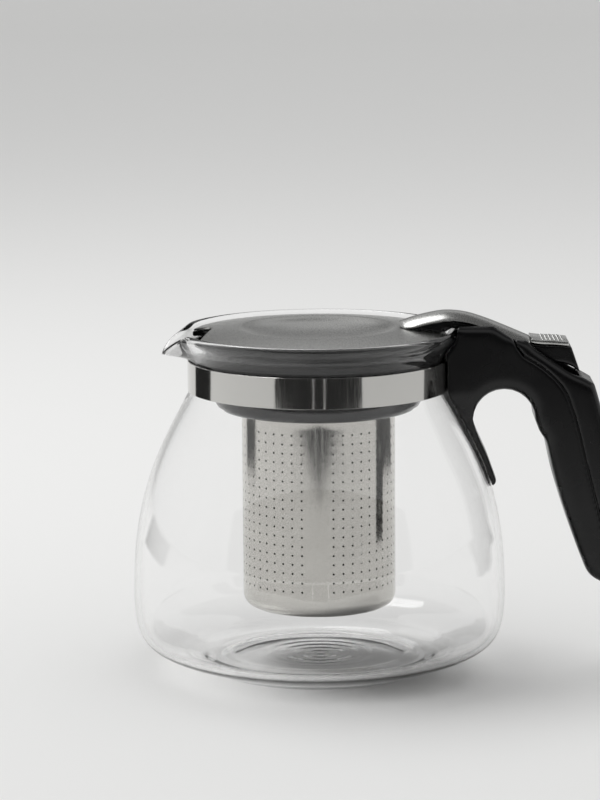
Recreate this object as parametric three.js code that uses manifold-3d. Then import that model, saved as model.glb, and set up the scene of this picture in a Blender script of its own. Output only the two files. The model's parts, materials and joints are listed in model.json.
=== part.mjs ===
// Glass teapot with a hinged lid, a side handle and a hanging infuser.
// Millimetres, +Z up. Origin: centre of the flat foot. The handle points along +X, the spout along -X.
import * as THREE from "three";
import { mergeVertices } from "three/addons/utils/BufferGeometryUtils.js";
import Module from "manifold-3d";

const wasm = await Module();
wasm.setup();

// ---------- driving dimensions ----------
const GAP = 0.3; // between pieces that touch
const RUN_CLEARANCE = 0.5; // between pieces that move past each other

// Jug
const FOOT_R = 41;
const BELLY_R = 69.4;
const BELLY_Z = 29;
const NECK_R = 47.6;
const NECK_Z = 105;
const GLASS_WALL = 2.2;
const FLOOR_THICKNESS = 3.4;
const RIM_FLARE = 4.4;
const SPOUT_PULL = 6.3;
const SPOUT_DROP = 8.9;
const SPOUT_HALF_WIDTH = 12;

// Neck band
const BAND_HEIGHT = 11.3;
const BAND_SHEET = 0.55;
const EAR_LENGTH = 8.5;
const EAR_SPREAD = 2.6;
const BAND_SCREW_R = 1.5;

// Rim and lid
const RIM_RISE = 11; // rim top above the top of the neck band
const LID_EDGE_DROP = 1.4; // below the top of the rim
const LID_INSET = 4.8; // from the glass rim's outside in to the lid's edge
const LID_DOME = 2;
const LID_RING = 17.2; // width of the plate round its dish
const DISH_DEPTH = 3.6;
const LID_SHEET = 0.7;
const LID_BASE_THICKNESS = 1.7;
const LID_BASE_OVERHANG = 0.5; // the base shows as a dark line round the plate
const LID_SKIRT_DEPTH = 4.5;
const LID_SKIRT_SETBACK = 3.6; // outside the dish
const LID_SKIRT_WALL = 1.6;
const NOTCH_DEPTH = 8;

// Infuser
const BASKET_FLANGE = 7.4; // the basket's rim, which lies on the collar
const BASKET_SHEET = 0.5;
const BASKET_BOTTOM_Z = 23.5;
const BASKET_CORNER = 4.5;
const COLLAR_STEP = 6.3; // the collar's lower part is this much slimmer all round
const COLLAR_DROP = 7.7; // how far the collar hangs below the neck band
const COLLAR_WALL = 1.9;

// Handle
const HANDLE_WIDTH = 24;
const SLOT_WIDTH = 17;
const HANDLE_EDGE = 2;
const SHELL_WALL = 3;
const HEAD_DEPTH = 8.55; // plastic between the neck band and the finger hole
const ARCH_HEIGHT = 21.8; // from the top of the finger hole up to the rim's level
const FINGER_HOLE_R = 11.5;
const GRIP_DEPTH = 24; // front to back, at the middle fingers
const GRIP_BOTTOM_Z = 31.6;
const TONGUE_LENGTH = 26.3; // below the middle of the finger hole
const TONGUE_THICKNESS = 2;
const TONGUE_TIP_WIDTH = 12;
const SCREW_R = 1.5;

// Lid lever
const PIVOT_SETBACK = 10; // in front of the grip's root
const PIVOT_DROP = 7.8; // below the rim
const PIN_R = 1.5;
const PIN_CLEARANCE = 0.08;
const PIN_COVER = 1.4; // plastic over each end of the pin
const HUB_R = 5;
const LEVER_WIDTH = SLOT_WIDTH - 2 * RUN_CLEARANCE;
const OPEN_ANGLE = THREE.MathUtils.degToRad(45);
const COVER_SHEET = 0.8;
const COVER_CROWN = 0.36; // fall to the side edge as a share of the half width
const PAD_THICKNESS = 1.6;
const LID_SCREW_R = 1.2;
const LID_SCREW_HEAD_R = 2.3;
const LID_SCREW_HEAD_DEPTH = 1.5;
const LID_SCREW_SETBACK = 6.2; // outside the dish
const LID_SCREW_SPREAD = 3.4; // to each side

const ROUND = 48; // sides of a full turn
const BEYOND = 20; // how far a cutter runs past what it cuts

// ---------- sizes that follow ----------
const BAND_R = NECK_R + GAP + BAND_SHEET;
const BAND_TOP_Z = NECK_Z + BAND_HEIGHT;
const RIM_Z = BAND_TOP_Z + RIM_RISE;
const RIM_R = NECK_R + RIM_FLARE;
const MOUTH_R = NECK_R - GLASS_WALL;
const LID_EDGE_Z = RIM_Z - LID_EDGE_DROP;
const LID_TOP_Z = LID_EDGE_Z + LID_DOME;
const LID_R = RIM_R - LID_INSET;
const DISH_R = LID_R - LID_RING;
const LID_BASE_R = LID_R + LID_BASE_OVERHANG;
const COLLAR_R = MOUTH_R - 2 * RUN_CLEARANCE;
const COLLAR_STEP_R = COLLAR_R - COLLAR_STEP;
const BASKET_R = COLLAR_STEP_R - COLLAR_WALL - GAP - BASKET_FLANGE;
const COLLAR_TOP_Z = LID_EDGE_Z - LID_SHEET - GAP - LID_BASE_THICKNESS - 0.6;
const COLLAR_BOTTOM_Z = NECK_Z - COLLAR_DROP;
const BASKET_RIM_Z = COLLAR_BOTTOM_Z + COLLAR_WALL + GAP;
const FINGER_HOLE_X = BAND_R + HEAD_DEPTH + FINGER_HOLE_R;
const FINGER_HOLE_Z = RIM_Z - ARCH_HEIGHT - FINGER_HOLE_R;
const ROOT_X = FINGER_HOLE_X + FINGER_HOLE_R; // the grip's root, behind the finger hole
const TONGUE_TIP_Z = FINGER_HOLE_Z - TONGUE_LENGTH;
const PIVOT_X = ROOT_X - PIVOT_SETBACK;
const PIVOT_Z = RIM_Z - PIVOT_DROP;

// ---------- materials ----------
function finish(color, roughness, metalness) {
  return new THREE.MeshStandardMaterial({ color, roughness, metalness });
}
const GLASS = finish(0xeef4f2, 0.05, 0);
Object.assign(GLASS, { transparent: true, opacity: 0.35 });
const MIRROR_STEEL = finish(0xc9c9c6, 0.08, 1);
const SATIN_STEEL = finish(0x9a9a98, 0.35, 1);
const BLACK_PLASTIC = finish(0x0d0d0e, 0.25, 0);
const PAD_METAL = finish(0xb4b4b2, 0.4, 1);
const ZINC_STEEL = finish(0xa8a8a4, 0.35, 1);

// ---------- shape helpers ----------
function solid(geometry) {
  const plain = geometry.clone();
  plain.deleteAttribute("normal");
  plain.deleteAttribute("uv");
  const merged = mergeVertices(plain, 1e-4);
  return new wasm.Manifold(
    new wasm.Mesh({
      numProp: 3,
      vertProperties: merged.attributes.position.array,
      triVerts: new Uint32Array(merged.index.array),
    }),
  );
}

function toMesh(name, body, material) {
  const data = body.getMesh();
  const geometry = new THREE.BufferGeometry();
  geometry.setAttribute("position", new THREE.BufferAttribute(data.vertProperties, 3));
  geometry.setIndex(new THREE.BufferAttribute(data.triVerts, 1));
  geometry.computeVertexNormals();
  const mesh = new THREE.Mesh(geometry, material);
  mesh.name = name;
  return mesh;
}

function anticlockwise(points) {
  return THREE.ShapeUtils.area(points) > 0 ? points : points.slice().reverse();
}

// Turns an outline of [radius, height] points about the jug's axis. It is closed, or starts and
// ends on the axis.
function revolveGeometry(outline) {
  const points = anticlockwise(outline.map(([r, z]) => new THREE.Vector2(r, z)));
  const onAxis = points.findIndex((p, i) => p.x === 0 && points.at(i - 1).x === 0);
  const ordered = onAxis < 0 ? [...points, points[0]] : [...points.slice(onAxis), ...points.slice(0, onAxis)];
  return new THREE.LatheGeometry(ordered, ROUND).rotateX(Math.PI / 2);
}

function revolve(outline) {
  return solid(revolveGeometry(outline));
}

// A plate of the given width, centred on the plane y = 0, from an outline of [x, z] points.
function plate(outline, width, edge = 0) {
  const shape = new THREE.Shape(anticlockwise(outline.map(([x, z]) => new THREE.Vector2(x, z))));
  const geometry = new THREE.ExtrudeGeometry(shape, {
    depth: width - 2 * edge,
    bevelEnabled: edge > 0,
    bevelThickness: edge,
    bevelSize: edge,
    bevelOffset: -edge,
    bevelSegments: 2,
  });
  return solid(geometry.translate(0, 0, edge - width / 2).rotateX(Math.PI / 2));
}

function box(low, high) {
  const size = high.map((v, i) => v - low[i]);
  const geometry = new THREE.BoxGeometry(...size);
  return solid(geometry.translate(...low.map((v, i) => v + size[i] / 2)));
}

// A round bar from one point to another.
function bar(from, to, radius, sides = 20) {
  const start = new THREE.Vector3(...from);
  const run = new THREE.Vector3(...to).sub(start);
  const geometry = new THREE.CylinderGeometry(radius, radius, run.length(), sides);
  geometry.translate(0, run.length() / 2, 0);
  const turn = new THREE.Quaternion().setFromUnitVectors(new THREE.Vector3(0, 1, 0), run.clone().normalize());
  return solid(geometry.applyQuaternion(turn).translate(...from));
}

function curve(points, steps) {
  const bends = points.map(([x, z]) => new THREE.Vector2(x, z));
  return new THREE.SplineCurve(bends).getPoints(steps).map((p) => [p.x, p.y]);
}

function bezier(a, b, c, d, steps) {
  const ends = [a, b, c, d].map(([x, z]) => new THREE.Vector2(x, z));
  return new THREE.CubicBezierCurve(...ends).getPoints(steps).map((p) => [p.x, p.y]);
}

function arc(x, z, radius, fromDegrees, toDegrees, steps) {
  return Array.from({ length: steps + 1 }, (_, i) => {
    const angle = THREE.MathUtils.degToRad(fromDegrees + ((toDegrees - fromDegrees) * i) / steps);
    return [x + radius * Math.cos(angle), z + radius * Math.sin(angle)];
  });
}

// Moves an open outline sideways, to its left for a positive distance.
function offset(points, distance) {
  return points.map(([x, z], i) => {
    const before = points[Math.max(i - 1, 0)];
    const after = points[Math.min(i + 1, points.length - 1)];
    const run = Math.hypot(after[0] - before[0], after[1] - before[1]);
    return [x - (distance * (after[1] - before[1])) / run, z + (distance * (after[0] - before[0])) / run];
  });
}

// A closed skin over a row of sections along +X. Each is a ring of the same number of points,
// clockwise seen from +X.
function loft(sections) {
  const count = sections[0].length;
  const index = [];
  for (let s = 0; s < sections.length - 1; s++)
    for (let i = 0; i < count; i++) {
      const a = s * count + i;
      const b = s * count + ((i + 1) % count);
      index.push(a, a + count, b, b, a + count, b + count);
    }
  const cap = (base, facing) => {
    const flat = sections[base / count].map(([, y, z]) => new THREE.Vector2(y, z));
    for (const face of THREE.ShapeUtils.triangulateShape(flat, [])) {
      const turn = THREE.ShapeUtils.area(face.map((i) => flat[i]));
      index.push(...(turn * facing > 0 ? face : face.reverse()).map((i) => base + i));
    }
  };
  cap(0, -1);
  cap((sections.length - 1) * count, 1);
  const geometry = new THREE.BufferGeometry();
  geometry.setAttribute("position", new THREE.Float32BufferAttribute(sections.flat(2), 3));
  return solid(geometry.setIndex(index));
}

// ---------- jug ----------
const LOWER_SIDE_STEPS = 6;

function sideOutline() {
  const lower = bezier(
    [FOOT_R, 0],
    [FOOT_R + 0.76 * (BELLY_R - FOOT_R), 0.33 * BELLY_Z],
    [BELLY_R, 0.17 * BELLY_Z],
    [BELLY_R, BELLY_Z],
    LOWER_SIDE_STEPS,
  );
  const height = NECK_Z - BELLY_Z;
  const upper = bezier(
    [BELLY_R, BELLY_Z],
    [BELLY_R, BELLY_Z + 0.52 * height],
    [NECK_R + 0.46 * (BELLY_R - NECK_R), NECK_Z - 0.255 * height],
    [NECK_R, NECK_Z],
    7,
  );
  return [...lower, ...upper.slice(1)];
}

function flareOutline() {
  const bead = GLASS_WALL / 2;
  return bezier(
    [NECK_R, BAND_TOP_Z],
    [NECK_R, BAND_TOP_Z + 0.4 * RIM_RISE],
    [RIM_R, BAND_TOP_Z + 0.5 * RIM_RISE],
    [RIM_R, RIM_Z - bead],
    4,
  );
}

function pulledSpout(geometry) {
  const position = geometry.getAttribute("position");
  for (let i = 0; i < position.count; i++) {
    const [x, y, z] = [position.getX(i), position.getY(i), position.getZ(i)];
    const rise = (z - BAND_TOP_Z) / RIM_RISE;
    if (rise <= 0) continue;
    const turn = Math.abs(Math.atan2(y, -x));
    const across = (turn * RIM_R) / SPOUT_HALF_WIDTH;
    const radius = Math.hypot(x, y);
    const pulled = radius + rise * SPOUT_PULL * Math.exp(-(across ** 4));
    const drop = rise * SPOUT_DROP * Math.exp(-((1.05 * across) ** 2.5));
    position.setXYZ(i, (x * pulled) / radius, (y * pulled) / radius, z - drop);
  }
  return geometry;
}

function glassBody() {
  const side = sideOutline();
  const flare = flareOutline();
  const outer = [...side, ...flare];
  const inner = offset(outer, GLASS_WALL)
    .filter(([, z]) => z > FLOOR_THICKNESS + 0.5)
    .reverse();
  const bead = GLASS_WALL / 2;
  const rim = arc(RIM_R - bead, RIM_Z - bead, bead, 45, 135, 2);
  const floor = [[inner.at(-1)[0] - 4, FLOOR_THICKNESS], [0, FLOOR_THICKNESS]];
  const outline = [[0, 0], ...outer, ...rim, ...inner, ...floor];
  return solid(pulledSpout(revolveGeometry(outline)));
}

// What the handle has to stay clear of: the jug's outside and the neck band, and the space above the rim.
function jugClearance() {
  const side = offset(sideOutline().slice(LOWER_SIDE_STEPS), -GAP).filter(([, z]) => z < NECK_Z - 1);
  const flare = offset(flareOutline().slice(1), -GAP);
  const top = RIM_Z + BEYOND;
  return revolve([
    [0, BELLY_Z],
    ...side,
    [BAND_R + GAP, NECK_Z - GAP],
    [BAND_R + GAP, BAND_TOP_Z + GAP],
    ...flare,
    [RIM_R + GAP, top],
    [0, top],
  ]);
}

// ---------- neck band and its screw ----------
const EAR_MID_Z = NECK_Z + BAND_HEIGHT / 2;
const EAR_HALF_HEIGHT = BAND_HEIGHT / 2 - 1.2;
const BAND_SCREW_X = BAND_R + 0.58 * EAR_LENGTH;
const NUT_HALF = 2.9;
const NUT_THICKNESS = 2.6;

function earBox(side, extra) {
  const inner = side * (EAR_SPREAD - extra);
  const outer = side * (EAR_SPREAD + BAND_SHEET + extra);
  return box(
    [BAND_R - BAND_SHEET, Math.min(inner, outer), EAR_MID_Z - EAR_HALF_HEIGHT - extra],
    [BAND_R + EAR_LENGTH + extra, Math.max(inner, outer), EAR_MID_Z + EAR_HALF_HEIGHT + extra],
  );
}

function neckBand() {
  const gapAngle = Math.asin(EAR_SPREAD / BAND_R);
  const inside = BAND_R - BAND_SHEET;
  const shape = new THREE.Shape();
  shape.absarc(0, 0, BAND_R, gapAngle, 2 * Math.PI - gapAngle, false);
  shape.absarc(0, 0, inside, 2 * Math.PI - gapAngle, gapAngle, true);
  const settings = { depth: BAND_HEIGHT, bevelEnabled: false, curveSegments: ROUND };
  const ring = new THREE.ExtrudeGeometry(shape, settings);
  const hole = bar([BAND_SCREW_X, -BEYOND, EAR_MID_Z], [BAND_SCREW_X, BEYOND, EAR_MID_Z], BAND_SCREW_R + GAP);
  return solid(ring.translate(0, 0, NECK_Z)).add(earBox(1, 0)).add(earBox(-1, 0)).subtract(hole);
}

const BAND_HEAD_R = 3.1;
const BAND_HEAD_DEPTH = 2.2;
const BAND_HEAD_Y = HANDLE_WIDTH / 2 - 1.6;
const NUT_Y = -(EAR_SPREAD + BAND_SHEET + 1.8);

function bandScrew() {
  const [x, z] = [BAND_SCREW_X, EAR_MID_Z];
  const head = bar([x, BAND_HEAD_Y, z], [x, BAND_HEAD_Y - BAND_HEAD_DEPTH, z], BAND_HEAD_R);
  const shank = bar([x, BAND_HEAD_Y - 1, z], [x, NUT_Y - NUT_THICKNESS - 0.5, z], BAND_SCREW_R);
  const socket = bar([x, BAND_HEAD_Y + 1, z], [x, BAND_HEAD_Y - 1.2, z], BAND_SCREW_R, 6);
  return head.add(shank).subtract(socket);
}

function bandNut() {
  const [x, z] = [BAND_SCREW_X, EAR_MID_Z];
  const block = box([x - NUT_HALF, NUT_Y - NUT_THICKNESS, z - NUT_HALF], [x + NUT_HALF, NUT_Y, z + NUT_HALF]);
  return block.subtract(bar([x, NUT_Y - BEYOND, z], [x, NUT_Y + BEYOND, z], BAND_SCREW_R + GAP));
}

// What the band's ears, screw and nut take out of the handle's head.
function bandPockets() {
  const [x, z] = [BAND_SCREW_X, EAR_MID_Z];
  const headSeat = BAND_HEAD_Y - BAND_HEAD_DEPTH - GAP;
  const counterbore = bar([x, HANDLE_WIDTH, z], [x, headSeat, z], BAND_HEAD_R + GAP);
  const bore = bar([x, headSeat + 1, z], [x, NUT_Y - NUT_THICKNESS - 1.2, z], BAND_SCREW_R + GAP);
  const nutSlot = box(
    [BAND_R - 2, NUT_Y - NUT_THICKNESS - GAP, z - NUT_HALF - GAP],
    [x + NUT_HALF + GAP, NUT_Y + GAP, z + NUT_HALF + GAP],
  );
  return counterbore.add(bore).add(nutSlot).add(earBox(1, GAP)).add(earBox(-1, GAP));
}

// ---------- handle ----------
// Places on the upper handle, given from the grip's root and the rim's level.
function upper(points) {
  return points.map(([x, z]) => [ROOT_X + x, RIM_Z + z]);
}

// Places along the grip, given from its root and as a share of the height from its end up to the rim.
function along(points, shift = 0) {
  return points.map(([x, share]) => [ROOT_X + x + shift, GRIP_BOTTOM_Z + share * (RIM_Z - GRIP_BOTTOM_Z)]);
}

// Places on the grip's free end, given from its root and from its lowest level.
function end(points) {
  return points.map(([x, z]) => [ROOT_X + x, GRIP_BOTTOM_Z + z]);
}

const DRAWN_DEPTH = 24; // the depth that the outline points below are given for
const EXTRA_DEPTH = GRIP_DEPTH - DRAWN_DEPTH;

// The grip's outline from the step under the thumb lever, round the free end and up to the finger rest.
function gripOutline() {
  const back = along([[30.3, 0.4535], [34.8, 0.213]], EXTRA_DEPTH);
  const backEnd = end([[36.4 + EXTRA_DEPTH, 10], [34.6 + EXTRA_DEPTH, 3.2], [30.4 + EXTRA_DEPTH / 2, 0]]);
  const frontEnd = end([[25, 0.8], [20.2, 3.7], [17.9, 8.5]]);
  const front = along([[14.3, 0.189], [9.8, 0.327], [6.3, 0.4545], [4.2, 0.562]]);
  return curve([...upper([[21.7, -20.1], [24.3, -28.9]]), ...back, ...backEnd, ...frontEnd, ...front], 26);
}

// The parting line between the handle's body and its back cover.
function seamOutline() {
  const shoulder = upper([[-8.3, -3.1], [-5, -8.9], [0.6, -12.3], [5.6, -16.3], [9.6, -20.7], [12.4, -25.9]]);
  const grip = along([[15.4, 0.631], [19, 0.474], [23.6, 0.286], [27.4, 0.109]]);
  return [...curve([...shoulder, ...grip], 16), ...end([[27.9, -4]])];
}

function tongueOutline() {
  const skin = offset(sideOutline(), -(GAP + TONGUE_THICKNESS)).reverse();
  const face = skin.filter(([, z]) => z < FINGER_HOLE_Z - 4 && z > TONGUE_TIP_Z + 4);
  const below = skin.find(([, z]) => z <= TONGUE_TIP_Z + 4);
  const last = face.at(-1);
  const share = (last[1] - TONGUE_TIP_Z - 2) / (last[1] - below[1]);
  const tipX = last[0] + share * (below[0] - last[0]);
  return [...face, [tipX, TONGUE_TIP_Z + 2], [tipX - 1.8, TONGUE_TIP_Z], [tipX - 11, TONGUE_TIP_Z]];
}

function handleOutline() {
  const inside = NECK_R - 6;
  const cheek = upper([[-15.6, 1.7], [-8.3, -3.1], [-2.8, -3.9], [-1.4, -5.7]]);
  const slope = upper([[12, -15.1], [14.9, -16.7], [17.6, -17.7]]);
  const hole = arc(FINGER_HOLE_X, FINGER_HOLE_Z, FINGER_HOLE_R, 0, 180, 12);
  const front = [[inside, FINGER_HOLE_Z], [inside, RIM_Z + 1.7]];
  const throat = [ROOT_X + 1.4, FINGER_HOLE_Z - 3.8];
  return [...front, ...cheek, ...slope, ...gripOutline(), throat, ...hole, ...tongueOutline()];
}

const LEVER_CORNER = [ROOT_X + 16.7, RIM_Z - 16.1]; // lowest point of the thumb wedge at rest

// The lever sweeps this space as it turns from closed to open, down to the finger hole's wall.
function leverSweep() {
  const reach = Math.hypot(LEVER_CORNER[0] - PIVOT_X, LEVER_CORNER[1] - PIVOT_Z) + RUN_CLEARANCE;
  const floorR = FINGER_HOLE_R + SHELL_WALL - RUN_CLEARANCE;
  const left = PIVOT_X - 12.8;
  const outline = [
    [left, RIM_Z + BEYOND],
    [left, FINGER_HOLE_Z + floorR + 6],
    [FINGER_HOLE_X - 5, FINGER_HOLE_Z + floorR + 0.4],
    [FINGER_HOLE_X, FINGER_HOLE_Z],
    ...arc(PIVOT_X, PIVOT_Z, reach, -64, -10, 8),
    [PIVOT_X + reach, RIM_Z + BEYOND],
  ];
  const [x, z] = [FINGER_HOLE_X, FINGER_HOLE_Z];
  const wall = bar([x, -SLOT_WIDTH, z], [x, SLOT_WIDTH, z], floorR, 36);
  return plate(outline, SLOT_WIDTH).subtract(wall);
}

// The hollow inside the grip, between the body's and the back cover's walls.
function gripHollowOutline() {
  const front = along([[4.9, 0.61], [6.6, 0.4545], [10.1, 0.327], [14.6, 0.189], [19, 0.084]], SHELL_WALL);
  const back = along([[34, 0.109], [35, 0.213], [30.2, 0.4535], [24.4, 0.694]], EXTRA_DEPTH - SHELL_WALL);
  return [...front, ...back];
}

const SCREW_AIM = [0.955, 0.297];
const [UPPER_SEAT, LOWER_SEAT] = along([[6.9, 0.422], [15.3, 0.161]]);
const COVER_SCREWS = {
  upper: { seat: UPPER_SEAT, aim: SCREW_AIM, length: 15 },
  lower: { seat: LOWER_SEAT, aim: SCREW_AIM, length: 14 },
};
const SCREW_HEAD_R = 2.9;
const SCREW_HEAD_DEPTH = 1.8;
const SCREW_SINK = 2.6;
const BOSS_R = 4;

function alongScrew(screw, distance) {
  return [screw.seat[0] + screw.aim[0] * distance, 0, screw.seat[1] + screw.aim[1] * distance];
}

function coverScrew(screw) {
  const seat = alongScrew(screw, SCREW_SINK);
  const head = bar(alongScrew(screw, SCREW_SINK - SCREW_HEAD_DEPTH), seat, SCREW_HEAD_R);
  const shank = bar(alongScrew(screw, SCREW_SINK - 0.5), alongScrew(screw, screw.length), SCREW_R);
  const cross = bar(alongScrew(screw, 0), alongScrew(screw, SCREW_SINK - 0.8), SCREW_R * 0.8, 6);
  return head.add(shank).subtract(cross);
}

function screwHole(screw) {
  const sink = bar(alongScrew(screw, -5), alongScrew(screw, SCREW_SINK + GAP), SCREW_HEAD_R + GAP);
  return sink.add(bar(alongScrew(screw, SCREW_SINK), alongScrew(screw, screw.length + 0.6), SCREW_R + GAP));
}

function handleHollow() {
  const bosses = Object.values(COVER_SCREWS).map((s) => bar(alongScrew(s, -2), alongScrew(s, 26), BOSS_R));
  const hollow = leverSweep().add(plate(gripHollowOutline(), SLOT_WIDTH));
  return bosses.reduce((space, boss) => space.subtract(boss), hollow);
}

// Narrows the tongue from the head's width down to its tip.
function tongueSides() {
  const [wide, tip] = [HANDLE_WIDTH / 2, TONGUE_TIP_WIDTH / 2];
  const side = (sign) => {
    const shape = new THREE.Shape();
    shape.moveTo(sign * (wide + 4), FINGER_HOLE_Z + 9);
    shape.lineTo(sign * (wide + 0.01), FINGER_HOLE_Z + 9);
    shape.lineTo(sign * (wide - 3.4), FINGER_HOLE_Z - 2);
    shape.lineTo(sign * tip, TONGUE_TIP_Z + 4);
    shape.lineTo(sign * (tip - 3), TONGUE_TIP_Z - 0.5);
    shape.lineTo(sign * (wide + 4), TONGUE_TIP_Z - 0.5);
    const [front, depth] = [NECK_R - 5.6, ROOT_X - NECK_R + 3.6];
    const geometry = new THREE.ExtrudeGeometry(shape, { depth, bevelEnabled: false });
    return solid(geometry.rotateX(Math.PI / 2).rotateZ(Math.PI / 2).translate(front, 0, 0));
  };
  return side(1).add(side(-1));
}

// The lever's arm leaves the head over the jug's rim, between the two cheeks.
function armChannel() {
  const half = SLOT_WIDTH / 2;
  return box([RIM_R - 10, -half, RIM_Z + GAP], [PIVOT_X - 10, half, RIM_Z + BEYOND]);
}

function pinCradle() {
  const half = HANDLE_WIDTH / 2 - PIN_COVER;
  const bore = bar([PIVOT_X, -half, PIVOT_Z], [PIVOT_X, half, PIVOT_Z], PIN_R + PIN_CLEARANCE, 24);
  const mouth = box([PIVOT_X, -half, PIVOT_Z - PIN_R], [PIVOT_X + 8, half, PIVOT_Z + PIN_R]);
  return bore.add(mouth);
}

function seamSide(gap, toTheBack) {
  const line = offset(seamOutline(), toTheBack ? gap : -gap);
  const far = toTheBack ? ROOT_X + 60 : NECK_R - 20;
  const [low, high] = [GRIP_BOTTOM_Z - 4, RIM_Z + BEYOND];
  return plate([...line, [far, low], [far, high], [line[0][0], high]], HANDLE_WIDTH + 4);
}

const HANDLE_SHELL = plate(handleOutline(), HANDLE_WIDTH, HANDLE_EDGE);
const HANDLE_HOLLOW = handleHollow();

function handleBody() {
  const holes = Object.values(COVER_SCREWS).map(screwHole);
  const front = HANDLE_SHELL.intersect(seamSide(GAP / 2, false)).subtract(HANDLE_HOLLOW);
  const cuts = [jugClearance(), bandPockets(), tongueSides(), armChannel(), pinCradle(), ...holes];
  return cuts.reduce((body, cut) => body.subtract(cut), front);
}

function handleBackCover() {
  const holes = Object.values(COVER_SCREWS).map(screwHole);
  const back = HANDLE_SHELL.intersect(seamSide(GAP / 2, true)).subtract(HANDLE_HOLLOW);
  return holes.reduce((cover, hole) => cover.subtract(hole), back);
}

function hingePin() {
  const half = HANDLE_WIDTH / 2 - PIN_COVER - GAP;
  return bar([PIVOT_X, -half, PIVOT_Z], [PIVOT_X, half, PIVOT_Z], PIN_R, 24);
}

// ---------- lid lever ----------
const CREST = [
  [DISH_R + 0.2, LID_TOP_Z + 2.6],
  [DISH_R + 6, LID_TOP_Z + 4.5],
  [NECK_R - 5.6, RIM_Z + 5.9],
  [NECK_R, RIM_Z + 6.6],
  ...upper([[-26, 6], [-20, 4.3], [-13, 1.6], [-2, -3.1]]),
];
const PAD_TOP = upper([[-1.4, -3.3], [2, -3.8], [7, -4], [12.4, -4.5]]);

function lidLever() {
  const underCover = offset(curve(CREST, 12), -COVER_SHEET);
  const underPad = offset(curve(PAD_TOP, 3), -(PAD_THICKNESS + GAP));
  // The underside is hollowed by the finger hole's wall, turned back from the open position.
  const hole = new THREE.Vector2(FINGER_HOLE_X, FINGER_HOLE_Z);
  hole.rotateAround(new THREE.Vector2(PIVOT_X, PIVOT_Z), OPEN_ANGLE);
  const start = THREE.MathUtils.radToDeg(Math.atan2(LEVER_CORNER[1] - hole.y, LEVER_CORNER[0] - hole.x));
  const relief = arc(hole.x, hole.y, FINGER_HOLE_R + SHELL_WALL, start, 112, 7);
  const hub = arc(PIVOT_X, PIVOT_Z, HUB_R, 285, 190, 6);
  const arm = [...upper([[-19, -4.7], [-21.6, 2 * GAP]]), [RIM_R - 3.4, RIM_Z + 2 * GAP]];
  const edge = [[LID_R + 0.8, LID_EDGE_Z + 1.2], [LID_R - 0.6, LID_EDGE_Z + 0.6]];
  const overLid = [...edge, [DISH_R + 2, LID_TOP_Z + 0.3]];
  const wedge = [...upper([[13.3, -6.3]]), LEVER_CORNER, ...relief];
  const outline = [...underCover, ...underPad, ...wedge, ...hub, ...arm, ...overLid];
  const bore = bar([PIVOT_X, -BEYOND, PIVOT_Z], [PIVOT_X, BEYOND, PIVOT_Z], PIN_R + PIN_CLEARANCE, 24);
  const screwHole = ([x, y]) => bar([x, y, LID_EDGE_Z - 5], [x, y, LID_SCREW_TOP], LID_SCREW_R + GAP);
  const holes = lidScrewPlaces().map(screwHole);
  const underSkin = loft(coverRings(-8, COVER_SHEET + GAP, 1));
  const blank = plate(outline, LEVER_WIDTH).intersect(leverPlan());
  return [bore, underSkin, ...holes].reduce((body, cut) => body.subtract(cut), blank);
}

// Half the cover's width at a share of its length, round at the lid's end.
function coverHalfWidth(share) {
  const round = Math.min(share / 0.16, 1);
  return (LEVER_WIDTH / 2) * (0.25 + 0.75 * Math.sqrt(1 - (1 - round) ** 2));
}

// Rings across the arm: an upper skin and a lower one, each a drop below the cover's crowned top.
function coverRings(upperDrop, lowerDrop, extraWidth) {
  const crest = curve(CREST, 14);
  return crest.map(([x, top], i) => {
    const half = coverHalfWidth(i / (crest.length - 1));
    const skin = (drop, reach) =>
      Array.from({ length: 7 }, (_, k) => {
        const y = reach * (k / 3 - 1);
        return [x, y, top - drop - COVER_CROWN * half * (y / half) ** 2];
      });
    const lower = skin(lowerDrop, half + extraWidth - (extraWidth > 0 ? 0 : 0.4)).reverse();
    return [...skin(upperDrop, half + extraWidth), ...lower];
  });
}

// The lever's plan view: inside the cover's sides, and straight from there to the thumb pad.
function leverPlan() {
  const inset = 0.7;
  const rings = coverRings(0, COVER_SHEET, 0);
  const side = rings.map((ring) => new THREE.Vector2(ring[0][0], -ring[0][1] - inset)).filter((p) => p.y > 1);
  side.push(new THREE.Vector2(PIVOT_X + 40, side.at(-1).y));
  const shape = new THREE.Shape([...side.map((p) => new THREE.Vector2(p.x, -p.y)), ...side.reverse()]);
  return solid(new THREE.ExtrudeGeometry(shape, { depth: 60, bevelEnabled: false }).translate(0, 0, RIM_Z - 37));
}

function armCover() {
  return loft(coverRings(0, COVER_SHEET, 0));
}

function thumbPad() {
  const top = curve(PAD_TOP, 4);
  return plate([...top, ...offset(top, -PAD_THICKNESS).reverse()], LEVER_WIDTH);
}

// ---------- lid ----------
function lidPlateTop() {
  const bottom = LID_TOP_Z - DISH_DEPTH;
  const shoulder = LID_EDGE_Z + 0.62 * LID_DOME;
  return [
    ...curve([[0, bottom], [0.4 * DISH_R, bottom + 0.08 * DISH_DEPTH], [DISH_R - 8, bottom + DISH_DEPTH / 2]], 3),
    ...curve([[DISH_R - 3, LID_TOP_Z - 0.12 * DISH_DEPTH], [DISH_R, LID_TOP_Z], [DISH_R + 8, shoulder]], 3),
    [LID_R, LID_EDGE_Z],
  ];
}

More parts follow.
